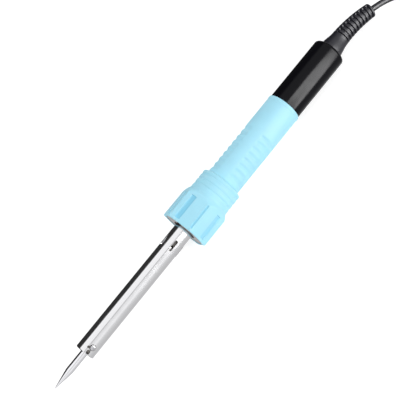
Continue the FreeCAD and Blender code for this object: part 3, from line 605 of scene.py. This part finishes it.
def make_barrel():
    corners = [
        (BARREL_FRONT + 1.2, BARREL_BORE, 0),
        (BARREL_FRONT + 0.45, BARREL_BORE, 0.3),
        (BARREL_FRONT, BARREL_MOUTH - 0.1, 0.12),
        (BARREL_FRONT, BARREL_MOUTH + 0.15, 0.12),
        (BARREL_FRONT + 0.4, BARREL_RADIUS, 0.4),
        (BARREL_REAR, BARREL_RADIUS, 0),
        (BARREL_REAR, BARREL_BORE, 0),
    ]
    barrel = lathe("barrel_drawn", corners, STEEL, "handle", closed=True, sides=192)
    for mesh in barrel_cutters():
        cutter = bpy.data.objects.new(mesh.name, mesh)
        bpy.context.scene.collection.objects.link(cutter)
        cut(barrel, cutter)
    true_barrel_normals(barrel.data)
    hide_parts("barrel_tube")


def make_cover():
    corners = [
        (COVER_REAR, COVER_BORE, 0),
        (COVER_FRONT, COVER_BORE, 0.35),
        (COVER_FRONT, COVER_RADIUS, 0.3),
        (COVER_STEP, COVER_RADIUS, 0),
        (COVER_STEP, COVER_SEAT, 0),
        (COVER_REAR, COVER_SEAT, 0),
    ]
    cover = lathe("cover_moulded", corners, COVER, "handle", closed=True)
    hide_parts("front_cover")


# ---------------------------------------------------------------- grip


def collar_radius(station, turn):
    """The six-sided collar, its edges rounded and its rear corners turned down."""
    from_flat = abs((turn + 30.0) % 60.0 - 30.0)
    angle = math.radians(from_flat)
    straight = COLLAR_FLAT - COLLAR_EDGE
    tangent = math.atan(math.tan(math.radians(30.0)) * straight / COLLAR_FLAT)
    if angle < tangent:
        radius = COLLAR_FLAT / math.cos(angle)
    else:
        reach = straight / math.cos(math.radians(30.0))
        off = math.radians(30.0) - angle
        radius = reach * math.cos(off) + math.sqrt(COLLAR_EDGE**2 - (reach * math.sin(off)) ** 2)
    slope = (CORNER_RADIUS - RING_RADIUS) / (COLLAR_REAR - CORNER_FRONT)
    turned_down = CORNER_RADIUS - slope * (station - CORNER_FRONT)
    radius = soft_min(radius, turned_down, 0.5)
    return radius - recess(station, turn)


def recess_shares(station, turn):
    """How far into the collar's wide slots and into its thin corner grooves a place lies."""
    flat = round(turn / 60.0)
    across = COLLAR_FLAT * math.tan(math.radians(turn - 60.0 * flat))
    middle = -RECESS_ASIDE if flat % 2 == 0 else SIDE_RECESS_ASIDE
    slot = ease((RECESS_HALF + 0.12 - abs(across - middle)) / 0.35)
    from_groove = abs((turn - CORNER_GROOVE_TURN + 60.0) % 120.0 - 60.0)
    reach = COLLAR_CORNER * math.radians(from_groove)
    thin = ease((CORNER_GROOVE_HALF - reach) / 0.6)
    lengthways = ease((station - RECESS_FRONT + 0.12) / 0.35)
    lengthways *= ease((RECESS_REAR + 0.12 - station) / 0.35)
    return slot * lengthways, thin * lengthways


def recess(station, turn):
    slot, thin = recess_shares(station, turn)
    return max(RECESS_DEPTH * slot, CORNER_GROOVE_DEPTH * thin)


def hollow_shade(station, turn):
    """How much painted shade darkens a place in a slot or a groove."""
    slot, thin = recess_shares(station, turn)
    on_side = round(turn / 60.0) % 2 == 1
    return max(slot * (SIDE_SHADE if on_side else 1.0), thin * GROOVE_SHADE)


def groove(position, width, edge):
    """0 outside a groove and 1 on its floor; position counts from its middle."""
    return ease((width / 2 - abs(position)) / edge + 0.5)


def ring_radius(station):
    radius = RING_RADIUS
    for number in range(3):
        middle = COLLAR_REAR + 3.5 + number * RING_PITCH
        radius -= RING_GROOVE * groove(station - middle, 1.1, 0.7)
    return radius


def rib_radius(station, turn):
    depth = 0.0
    for number in range(RIBS):
        middle = RING_REAR + 4.2 + number * RIB_PITCH
        depth = max(depth, groove(station - middle, 1.9, 1.5))
    from_pad = abs((turn + 60.0) % 120.0 - 60.0)
    ribbed = ease((from_pad - PAD_HALF) / 9.0)
    return RIB_RADIUS - RIB_GROOVE * depth * ribbed


def grip_radius(station, turn):
    if station < RING_REAR + 2:
        radius = ring_radius(station)
        if station < COLLAR_REAR + 1:
            radius = soft_max(collar_radius(station, turn), radius, 0.5)
        fall = RING_RADIUS - 2.2 * (station - RING_REAR + 0.5)
        radius = soft_min(radius, fall, 0.7)
        radius = soft_max(radius, RIB_RADIUS, 0.7)
    else:
        radius = rib_radius(station, turn)
        lip = ease((station - GRIP_REAR + 2.2) / 0.6)
        radius += (GRIP_LIP - RIB_RADIUS) * lip
    for gap in (station - COLLAR_FRONT, GRIP_REAR - station):
        if gap < 0.5:
            radius -= 0.5 - math.sqrt(max(0.0, 0.25 - (0.5 - gap) ** 2))
    return radius


def grip_stations():
    stations = [COLLAR_FRONT + 0.5 - 0.5 * math.cos(math.radians(15 * i)) for i in range(6)]
    stations += spread(COLLAR_FRONT + 0.5, RECESS_FRONT - 0.3, 0.4)
    stations += spread(RECESS_FRONT - 0.25, RECESS_FRONT + 0.35, 0.06)
    stations += spread(RECESS_FRONT + 0.5, CORNER_FRONT - 1.0, 0.6)
    stations += spread(RECESS_REAR - 0.35, RECESS_REAR + 0.25, 0.06)
    stations += spread(CORNER_FRONT - 0.8, COLLAR_REAR + 1.0, 0.1)
    stations += spread(COLLAR_REAR + 1.15, RING_REAR - 1.0, 0.12)
    stations += spread(RING_REAR - 0.9, RING_REAR + 2.0, 0.09)
    stations += spread(RING_REAR + 2.1, RING_REAR + 4.2 + RIBS * RIB_PITCH, 0.16)
    stations += spread(RING_REAR + 4.6 + RIBS * RIB_PITCH, GRIP_REAR - 2.5, 0.8)
    stations += spread(GRIP_REAR - 2.3, GRIP_REAR - 0.5, 0.12)
    stations += [GRIP_REAR - 0.5 + 0.5 * math.sin(math.radians(15 * i)) for i in range(1, 7)]
    return sorted(set(round(station, 4) for station in stations))


def mark_painted_shade(mesh, turns):
    """Tell the grip's material how much painted shade each outside point in a slot or a groove gets."""
    hollow_painted_shade = mesh.attributes.new("hollow_painted_shade", "FLOAT", "POINT")
    stations = grip_stations()
    for number, item in enumerate(hollow_painted_shade.data[: len(stations) * len(turns)]):
        place, way = divmod(number, len(turns))
        item.value = hollow_shade(stations[place], turns[way])


def make_grip():
    turns = [360.0 * i / GRIP_SIDES for i in range(GRIP_SIDES)]
    rows = []
    for station in grip_stations():
        rows.append([at(station, grip_radius(station, turn), turn) for turn in turns])
    inside = [
        (GRIP_REAR, CORE_RADIUS),
        (BLOCK_REAR, CORE_RADIUS),
        (BLOCK_REAR, BLOCK_RADIUS),
        (COVER_REAR, BLOCK_RADIUS),
        (COVER_REAR, COVER_SEAT),
        (COVER_STEP, COVER_SEAT),
        (COVER_STEP, COVER_RADIUS),
        (COLLAR_FRONT + 0.1, COVER_RADIUS),
        (COLLAR_FRONT, COVER_RADIUS + 0.08),
    ]
    for station, radius in inside:
        rows.append([at(station, radius, turn) for turn in turns])
    grip = skin("grip_moulded", rows, BLUE, "handle", closed=True, sharp=40.0)
    mark_painted_shade(grip.data, turns)
    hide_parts("grip_sleeve")


# ---------------------------------------------------------------- rear handle and strain relief


def make_rear_handle():
    corners = [
        (GRIP_REAR, CORE_RADIUS + 0.05, 0),
        (GRIP_REAR, HANDLE_RADIUS, 0.3),
        (HANDLE_REAR, HANDLE_RADIUS, HANDLE_EDGE),
        (HANDLE_REAR, RELIEF_BASE + 0.05, 0.2),
        (WALL_FRONT, RELIEF_BASE + 0.05, 0),
        (WALL_FRONT, HANDLE_CAVITY, 0),
        (CORE_REAR, HANDLE_CAVITY, 0),
        (CORE_REAR, CORE_RADIUS + 0.05, 0),
    ]
    handle = lathe("rear_handle_moulded", corners, GLOSS_BLACK, "handle", closed=True, steps=10)
    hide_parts("rear_handle")


def relief_frame(way):
    """Centre, direction and two crossways directions at a distance past the relief's cone."""
    turn = way / RELIEF_BEND
    droop = math.radians(RELIEF_DROOP)
    aside = SIDE * math.cos(droop) - UP * math.sin(droop)
    centre = FOOT + AXIS * (CONE_REAR + RELIEF_BEND * math.sin(turn))
    centre = centre + aside * (RELIEF_BEND * (1 - math.cos(turn)))
    direction = AXIS * math.cos(turn) + aside * math.sin(turn)
    if way <= 0:
        centre = FOOT + AXIS * (CONE_REAR + way)
        direction = AXIS.copy()
    top = (UP - direction * UP.dot(direction)).normalized()
    return centre, direction, top, top.cross(direction)


def relief_radius(way, turn):
    """Outside radius: a cone, then ribs whose slots swap places at two long spines."""
    if way < 0:
        share = ease(-way / (CONE_REAR - HANDLE_REAR))
        return RELIEF_WAIST + (RELIEF_BASE - RELIEF_WAIST) * share
    radius = RELIEF_WAIST + (RELIEF_END - RELIEF_WAIST) * way / RELIEF_LENGTH
    pitch = RELIEF_LENGTH / RELIEF_RIBS
    from_spine = (turn - SPINE_TURN) % 360.0
    offset = 0.25 * pitch if from_spine < 180.0 else 0.75 * pitch
    place = (way - offset) % pitch - pitch / 2
    slot = groove(place, pitch * 0.46, 0.3)
    near_spine = abs((from_spine + 90.0) % 180.0 - 90.0)
    slot *= ease((near_spine - SPINE_HALF) / 5.0)
    slot *= ease((way - 0.5) / 0.3) * ease((RELIEF_LENGTH - 0.7 - way) / 0.3)
    gap = RELIEF_LENGTH - way
    if gap < 0.4:
        radius -= 0.4 - math.sqrt(max(0.0, 0.16 - (0.4 - gap) ** 2))
    return radius - RELIEF_GROOVE * slot


def relief_row(way, radius_of, sides=192):
    centre, _, top, side = relief_frame(way)
    row = []
    for index in range(sides):
        turn = 360.0 * index / sides
        angle = math.radians(turn)
        out = top * math.cos(angle) + side * math.sin(angle)
        row.append((centre + out * radius_of(turn)) * MM)
    return row


def make_strain_relief():
    front = RELIEF_FRONT - CONE_REAR
    wall = WALL_FRONT - CONE_REAR
    rows = []
    for way, radius in (
        (front, RELIEF_FLANGE),
        (wall - 0.1, RELIEF_FLANGE),
        (wall - 0.1, RELIEF_BASE),
    ):
        rows.append(relief_row(way, lambda turn, r=radius: r))
    for way in spread(HANDLE_REAR - CONE_REAR, -0.02, 0.3):
        rows.append(relief_row(way, lambda turn, w=way: relief_radius(w, turn)))
    for way in spread(0.0, RELIEF_LENGTH - 0.4, 0.07):
        rows.append(relief_row(way, lambda turn, w=way: relief_radius(w, turn)))
    for step in range(1, 7):
        way = RELIEF_LENGTH - 0.4 + 0.4 * math.sin(math.radians(15 * step))
        rows.append(relief_row(way, lambda turn, w=way: relief_radius(w, turn)))
    rows.append(relief_row(RELIEF_LENGTH, lambda turn: CORD_RADIUS + 0.25))
    rows.append(relief_row(RELIEF_LENGTH - 0.3, lambda turn: CORD_RADIUS))
    rows.append(relief_row(0.0, lambda turn: CORD_RADIUS))
    rows.append(relief_row(front, lambda turn: CORD_RADIUS))
    relief = skin("strain_relief_moulded", rows, RUBBER, "handle", closed=True, sharp=40.0)
    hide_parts("strain_relief")


# ---------------------------------------------------------------- cord, hank and plug

CORD_EXIT = Vector((133.7456, -3.1753, 7.5802))
CORD_HEADING = Vector((0.96094, -0.25868, -0.09835))
CORD_IN_RELIEF = 3.0
FIRST_RUN = 8.0
CORD_ROUTE = [(149.0, -8.8, 5.6), (156.4, -13.3, 3.7), (163.8, -17.1, 2.1), (171.8, -18.9, 1.75)]
PLUG_ROUTE = [
    (185.0, -15.3, 7.9),
    (193.3, -11.8, 9.2),
    (201.0, -6.4, 11.3),
    (209.0, -2.8, 12.6),
]
PLUG_START = 217.0
PLUG_SIDE = -2.0
PLUG_HEIGHT = 12.85
CORD_IN_PLUG = 12.0

# The hank: straight runs along X joined by folds. Each turn is the slot of its run on the near
# side and the slot of its run on the far side, as (distance from the middle line, height).
HANK_FRONT = 176.0
HANK_RUN = 66.0
HANK_SIDE = -2.0
LOW = 1.7
HIGH = 4.65
THIRD = 7.6
CROSSING = 5.3
HANK_TURNS = [
    ((17.0, LOW), (17.0, LOW)),
    ((13.6, LOW), (13.6, LOW)),
    ((10.2, LOW), (10.2, LOW)),
    ((11.9, HIGH), (11.9, HIGH)),
    ((15.3, HIGH), (15.3, HIGH)),
]
HANK_END = (13.6, THIRD)
FOLD_POINTS = 8


def fold(start, end, side, hump):
    """Half a turn from one run to the other; side is +1 at the rear end and -1 at the front."""
    points = []
    (first, low), (last, high) = start, end
    middle = (first + last) / 2
    shift = (last - first) / 2
    end_x = HANK_FRONT + (HANK_RUN if side > 0 else 0.0)
    swell = 2 / (1 + math.cos(math.pi / FOLD_POINTS / 2))
    for step in range(FOLD_POINTS + 1):
        angle = math.pi * step / FOLD_POINTS
        share = step / FOLD_POINTS
        x = end_x + side * middle * swell * math.sin(angle)
        y = HANK_SIDE - side * middle * math.cos(angle) * (swell if 0 < step < FOLD_POINTS else 1)
        y += side * shift
        z = low + (high - low) * ease(share) + hump * math.sin(angle)
        points.append(Vector((x, y, z)))
    return points


def hank_points():
    points = []
    for number, (near, far) in enumerate(HANK_TURNS):
        points += fold(near, far, 1, 0.0)
        last_turn = number == len(HANK_TURNS) - 1
        after = HANK_END if last_turn else HANK_TURNS[number + 1][0]
        hump = CROSSING - HIGH if far[1] == HIGH or after[1] == HIGH else 0.0
        points += fold(far, after, -1, hump)
    return points


def cord_points():
    points = [CORD_EXIT - CORD_HEADING * CORD_IN_RELIEF, CORD_EXIT, CORD_EXIT + CORD_HEADING * FIRST_RUN]
    points += [Vector(place) for place in CORD_ROUTE]
    points += hank_points()
    points += [Vector(place) for place in PLUG_ROUTE]
    points.append(Vector((PLUG_START, PLUG_SIDE, PLUG_HEIGHT)))
    points.append(Vector((PLUG_START + CORD_IN_PLUG, PLUG_SIDE, PLUG_HEIGHT)))
    return points


def make_cord():
    points = cord_points()
    data = bpy.data.curves.new("mains_cord", "CURVE")
    data.dimensions = "3D"
    spline = data.splines.new("NURBS")
    spline.points.add(len(points) - 1)
    for point, place in zip(spline.points, points):
        point.co = (*(place * MM), 1.0)
    spline.order_u = 3
    spline.use_endpoint_u = True
    spline.resolution_u = 4
    data.bevel_depth = CORD_RADIUS * MM
    data.bevel_resolution = 5
    data.use_fill_caps = True
    data.materials.append(CORD_BLACK)
    cord = bpy.data.objects.new("mains_cord", data)
    bpy.context.scene.collection.objects.link(cord)
    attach(cord, "handle")
    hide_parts("cord_tube", "cord_hank", "cord_plug_end")
    return cord


PLUG_RELIEF_LENGTH = 15.0
PLUG_LENGTH = 33.0
PLUG_WIDTH = 26.0
PLUG_NECK = 12.0
PLUG_SHOULDER = 13.0
PLUG_THICK = 13.0
PLUG_EDGE = 2.0
PLUG_RIBS = 6
PLUG_RIB_START = 1.2
PLUG_RIB_PITCH = 2.2
PIN_RADIUS = 2.0
PIN_LENGTH = 19.0
PIN_SPACING = 18.6
SLEEVE_LENGTH = 10.0
SLEEVE_RADIUS = 1.75


def plug_ring(x, radius, y=0.0, sides=64):
    row = []
    for index in range(sides):
        angle = 2 * math.pi * index / sides
        place = Vector((PLUG_START + x, PLUG_SIDE + y, PLUG_HEIGHT))
        place += Vector((0, math.cos(angle), math.sin(angle))) * radius
        row.append(place * MM)
    return row


def turned_x(name, corners, material, y=0.0):
    """A piece turned about a line along +X beside the plug's own axis."""
    rows = [plug_ring(x, max(radius, 0.001), y) for x, radius in rounded(corners)]
    return skin(name, rows, material, "handle", capped=True)


def make_plug():
    corners = [(0.0, 0.0, 0), (0.0, CORD_RADIUS + 0.9, 0.3)]
    for rib in range(PLUG_RIBS):
        x = PLUG_RIB_START + rib * PLUG_RIB_PITCH
        radius = CORD_RADIUS + 0.9 + 1.7 * x / PLUG_RELIEF_LENGTH
        corners.append((x, radius, 0.1))
        corners.append((x + 0.25, radius - 0.7, 0.1))
        corners.append((x + 0.95, radius - 0.65, 0.1))
        corners.append((x + 1.2, radius + 0.1, 0.1))
    corners.append((PLUG_RELIEF_LENGTH + 0.5, CORD_RADIUS + 2.6, 0))
    corners.append((PLUG_RELIEF_LENGTH + 0.5, 0.0, 0))
    relief = turned_x("plug_relief_moulded", corners, PLUG_BLACK)
    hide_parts("plug_relief")
    body = make_plug_body()
    pieces = [relief, body]
    face = PLUG_RELIEF_LENGTH + PLUG_LENGTH
    for number, side in enumerate((PIN_SPACING / 2, -PIN_SPACING / 2)):
        pin_corners = [
            (face - 0.5, 0.0, 0),
            (face - 0.5, SLEEVE_RADIUS - 0.4, 0),
            (face + SLEEVE_LENGTH, SLEEVE_RADIUS - 0.4, 0),
            (face + SLEEVE_LENGTH, PIN_RADIUS, 0.15),
            (face + PIN_LENGTH - 1.0, PIN_RADIUS, 0.6),
            (face + PIN_LENGTH, PIN_RADIUS - 0.8, 0.3),
            (face + PIN_LENGTH, 0.0, 0),
        ]
        pin = turned_x(f"plug_pin_{number}", pin_corners, PIN_METAL, side)
        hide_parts("plug_pins")
        sleeve_corners = [
            (face - 0.5, 0.0, 0),
            (face - 0.5, SLEEVE_RADIUS, 0),
            (face + SLEEVE_LENGTH - 0.05, SLEEVE_RADIUS, 0.1),
            (face + SLEEVE_LENGTH - 0.05, 0.0, 0),
        ]
        sleeve = turned_x(f"plug_sleeve_{number}", sleeve_corners, SLEEVE_BLACK, side)
        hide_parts("plug_pin_sleeves")
        pieces += [pin, sleeve]
    return pieces


def make_plug_body():
    """A rounded flat block, its sides waisted for the fingers."""
    rows = []
    for x in spread(0.0, PLUG_LENGTH, 0.5):
        half = PLUG_NECK / 2 + (PLUG_WIDTH - PLUG_NECK) / 2 * ease(x / PLUG_SHOULDER)
        thick = PLUG_THICK / 2
        inset = 0.0
        for gap in (x, PLUG_LENGTH - x):
            if gap < PLUG_EDGE:
                inset = PLUG_EDGE - math.sqrt(max(0.0, PLUG_EDGE**2 - (PLUG_EDGE - gap) ** 2))
        rows.append(plug_section(PLUG_RELIEF_LENGTH + x, half - inset, thick - inset))
    body = skin("plug_body_moulded", rows, PLUG_BLACK, "handle", capped=True)
    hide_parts("plug_body")
    return body


def plug_section(x, half, thick, steps=8):
    """A rectangle with rounded corners across the plug."""
    edge = min(3.2, half - 0.2, thick - 0.2)
    row = []
    for quarter, (y_way, z_way) in enumerate(((1, 1), (-1, 1), (-1, -1), (1, -1))):
        for step in range(steps + 1):
            angle = math.radians(90.0 * quarter + 90.0 * step / steps)
            y = y_way * (half - edge) + edge * math.cos(angle)
            z = z_way * (thick - edge) + edge * math.sin(angle)
            row.append(Vector((PLUG_START + x, PLUG_SIDE + y, PLUG_HEIGHT + z)) * MM)
    return row


TIE_STATION = 205.0
TIE_HALF = 2.0
TIE_THICK = 0.55
HANK_OUTER = 18.7
HANK_TOP = 6.35


def make_tie():
    """A flat strap round the hank."""
    corners = [
        (-HANK_OUTER, TIE_THICK, 1.5),
        (HANK_OUTER, TIE_THICK, 1.5),
        (HANK_OUTER, HANK_TOP, 1.6),
        (-HANK_OUTER, HANK_TOP, 1.6),
    ]
    outline = []
    for index, corner in enumerate(corners):
        outline += rounded([corners[index - 1], corner, corners[(index + 1) % 4]], 8)[1:-1]
    rows = []
    for point in outline:
        flat = Vector((max(-HANK_OUTER + 2.5, min(HANK_OUTER - 2.5, point.x)), HANK_TOP / 2))
        away = (point - flat).normalized()
        row = []
        for width, proud in ((-1, 0), (-1, 1), (1, 1), (1, 0)):
            place = point + away * (TIE_THICK * proud - 0.03)
            across = TIE_STATION + TIE_HALF * width
            row.append(Vector((across, HANK_SIDE + place.x, place.y)) * MM)
        rows.append(row)
    tie = skin("cord_tie_strap", rows, TIE_BLACK, "handle", closed=True, sharp=30.0)
    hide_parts("cord_tie")
    return tie


# ---------------------------------------------------------------- camera, light and floor

VIEW_LEAN = math.radians(8.5)
VIEW_ORBIT = 20.2
VIEW_ROLL = math.radians(50.78)
VIEW_STATION = 17.7
VIEW_ASIDE = -3.55
VIEW_DISTANCE = 510.2
VIEW_LENS = 85.5


def make_camera():
    towards = outwards(VIEW_ORBIT)
    across = outwards(VIEW_ORBIT + 90.0)
    back = towards * math.cos(VIEW_LEAN) - AXIS * math.sin(VIEW_LEAN)
    along = (AXIS + back * math.sin(VIEW_LEAN)) / math.cos(VIEW_LEAN)
    right = along * math.cos(VIEW_ROLL) + across * math.sin(VIEW_ROLL)
    top = along * math.sin(VIEW_ROLL) - across * math.cos(VIEW_ROLL)
    target = FOOT + AXIS * VIEW_STATION + across * VIEW_ASIDE
    place = (target + back * VIEW_DISTANCE) * MM
    data = bpy.data.cameras.new("camera")
    data.lens = VIEW_LENS
    data.sensor_width = 36.0
    data.clip_start = 0.01
    camera = bpy.data.objects.new("camera", data)
    camera.matrix_world = Matrix(
        (
            (right.x, top.x, back.x, place.x),
            (right.y, top.y, back.y, place.y),
            (right.z, top.z, back.z, place.z),
            (0, 0, 0, 1),
        )
    )
    bpy.context.scene.collection.objects.link(camera)
    bpy.context.scene.camera = camera


def make_area_light(name, turn, distance, width, length, power, station=20.0, glossy=True, diffuse=True):
    """A soft box about the iron's axis, facing it."""
    data = bpy.data.lights.new(name, "AREA")
    data.shape = "RECTANGLE"
    data.size = length * MM
    data.size_y = width * MM
    data.energy = power
    light = bpy.data.objects.new(name, data)
    light.visible_glossy = glossy
    light.visible_diffuse = diffuse
    out = outwards(turn)
    aside = out.cross(AXIS)
    place = on_axis(station) + out * (distance * MM)
    light.matrix_world = Matrix(
        (
            (AXIS.x, aside.x, out.x, place.x),
            (AXIS.y, aside.y, out.y, place.y),
            (AXIS.z, aside.z, out.z, place.z),
            (0, 0, 0, 1),
        )
    )
    bpy.context.scene.collection.objects.link(light)


def make_lights():
    """A broad light from the side, one from above, and a sheen seen only in reflections, for the handle."""
    make_area_light(
        "key", turn=53.0, distance=900.0, width=1080.0, length=220.0, power=3.4, station=245.0
    )
    make_area_light(
        "top", turn=-10.0, distance=1100.0, width=500.0, length=900.0, power=3.0, glossy=False
    )
    make_area_light(
        "sheen",
        turn=50.0,
        distance=900.0,
        width=1300.0,
        length=240.0,
        power=18.0,
        station=430.0,
        diffuse=False,
    )


# What glossy surfaces mirror, by turn about the iron, as (turn, brightness).
# These values, the sheen and the painted shade of the collar's slots were fitted to sampled colours of the
# photo.
ROOM_BANDS = [
    (-180.0, 0.90),
    (-146.0, 0.90),
    (-138.0, 0.03),
    (-52.0, 0.03),
    (-46.0, 1.05),
    (7.0, 1.0),
    (13.0, 0.40),
    (20.0, 0.80),
    (57.0, 0.95),
    (80.0, 0.70),
    (108.0, 0.62),
    (150.0, 0.55),
    (180.0, 0.90),
]
FILL_LIGHT = 0.62


def make_world():
    """A plain room for matt surfaces, and bands of light and dark for polished ones to mirror."""
    world = bpy.data.worlds.new("studio")
    bpy.context.scene.world = world
    world.use_nodes = True
    tree = world.node_tree
    coordinates = tree.nodes.new("ShaderNodeTexCoord")
    parts = tree.nodes.new("ShaderNodeSeparateXYZ")
    tree.links.new(coordinates.outputs["Generated"], parts.inputs["Vector"])
    flip = tree.nodes.new("ShaderNodeMath")
    flip.operation = "MULTIPLY"
    flip.inputs[1].default_value = -1.0
    tree.links.new(parts.outputs["Y"], flip.inputs[0])
    angle = tree.nodes.new("ShaderNodeMath")
    angle.operation = "ARCTAN2"
    tree.links.new(flip.outputs["Value"], angle.inputs[0])
    tree.links.new(parts.outputs["Z"], angle.inputs[1])
    scaled = tree.nodes.new("ShaderNodeMapRange")
    scaled.inputs["From Min"].default_value = -math.pi
    scaled.inputs["From Max"].default_value = math.pi
    tree.links.new(angle.outputs["Value"], scaled.inputs["Value"])
    ramp = tree.nodes.new("ShaderNodeValToRGB")
    stops = ramp.color_ramp.elements
    while len(stops) < len(ROOM_BANDS):
        stops.new(0.5)
    for stop, (turn, value) in zip(stops, ROOM_BANDS):
        stop.position = (turn + 180.0) / 360.0
        stop.color = (value, value, value * 1.01, 1.0)
    tree.links.new(scaled.outputs["Result"], ramp.inputs["Fac"])
    rays = tree.nodes.new("ShaderNodeLightPath")
    mix = tree.nodes.new("ShaderNodeMixShader")
    background = tree.nodes["Background"]
    background.inputs["Color"].default_value = (1.0, 1.0, 1.0, 1.0)
    background.inputs["Strength"].default_value = FILL_LIGHT
    mirrored = tree.nodes.new("ShaderNodeBackground")
    tree.links.new(ramp.outputs["Color"], mirrored.inputs["Color"])
    tree.links.new(rays.outputs["Is Glossy Ray"], mix.inputs["Fac"])
    tree.links.new(background.outputs["Background"], mix.inputs[1])
    tree.links.new(mirrored.outputs["Background"], mix.inputs[2])
    tree.links.new(mix.outputs["Shader"], tree.nodes["World Output"].inputs["Surface"])


FLOOR_REACH = 3.0
FLOOR_GLOW = 0.72


def make_floor():
    mesh = bpy.data.meshes.new("floor")
    reach = FLOOR_REACH
    corners = [(-reach, -reach, 0), (reach, -reach, 0), (reach, reach, 0), (-reach, reach, 0)]
    mesh.from_pydata(corners, [], [(0, 1, 2, 3)])
    material, shader = new_material("floor_white", (0.5, 0.5, 0.5), 0.9, 0.0, 0.0)
    coordinates = add_node(material, "ShaderNodeTexCoord")
    paper = noise(material, coordinates.outputs["Object"], 400.0, 3.0)
    bump(material, shader, paper, 0.02, 0.1)
    shader.inputs["Emission Color"].default_value = (1.0, 1.0, 1.0, 1.0)
    shader.inputs["Emission Strength"].default_value = FLOOR_GLOW
    mesh.materials.append(material)
    floor = bpy.data.objects.new("floor", mesh)
    floor.visible_glossy = False
    bpy.context.scene.collection.objects.link(floor)


# ---------------------------------------------------------------- build

make_camera()
finish_inner_nodes()
cord = make_cord()
plug_pieces = make_plug()
tie = make_tie()
make_bit()
make_set_screw()
make_barrel()
make_cover()
make_grip()
make_rear_handle()
make_strain_relief()
make_world()
make_floor()
make_lights()
bpy.context.scene.view_settings.view_transform = "Standard"
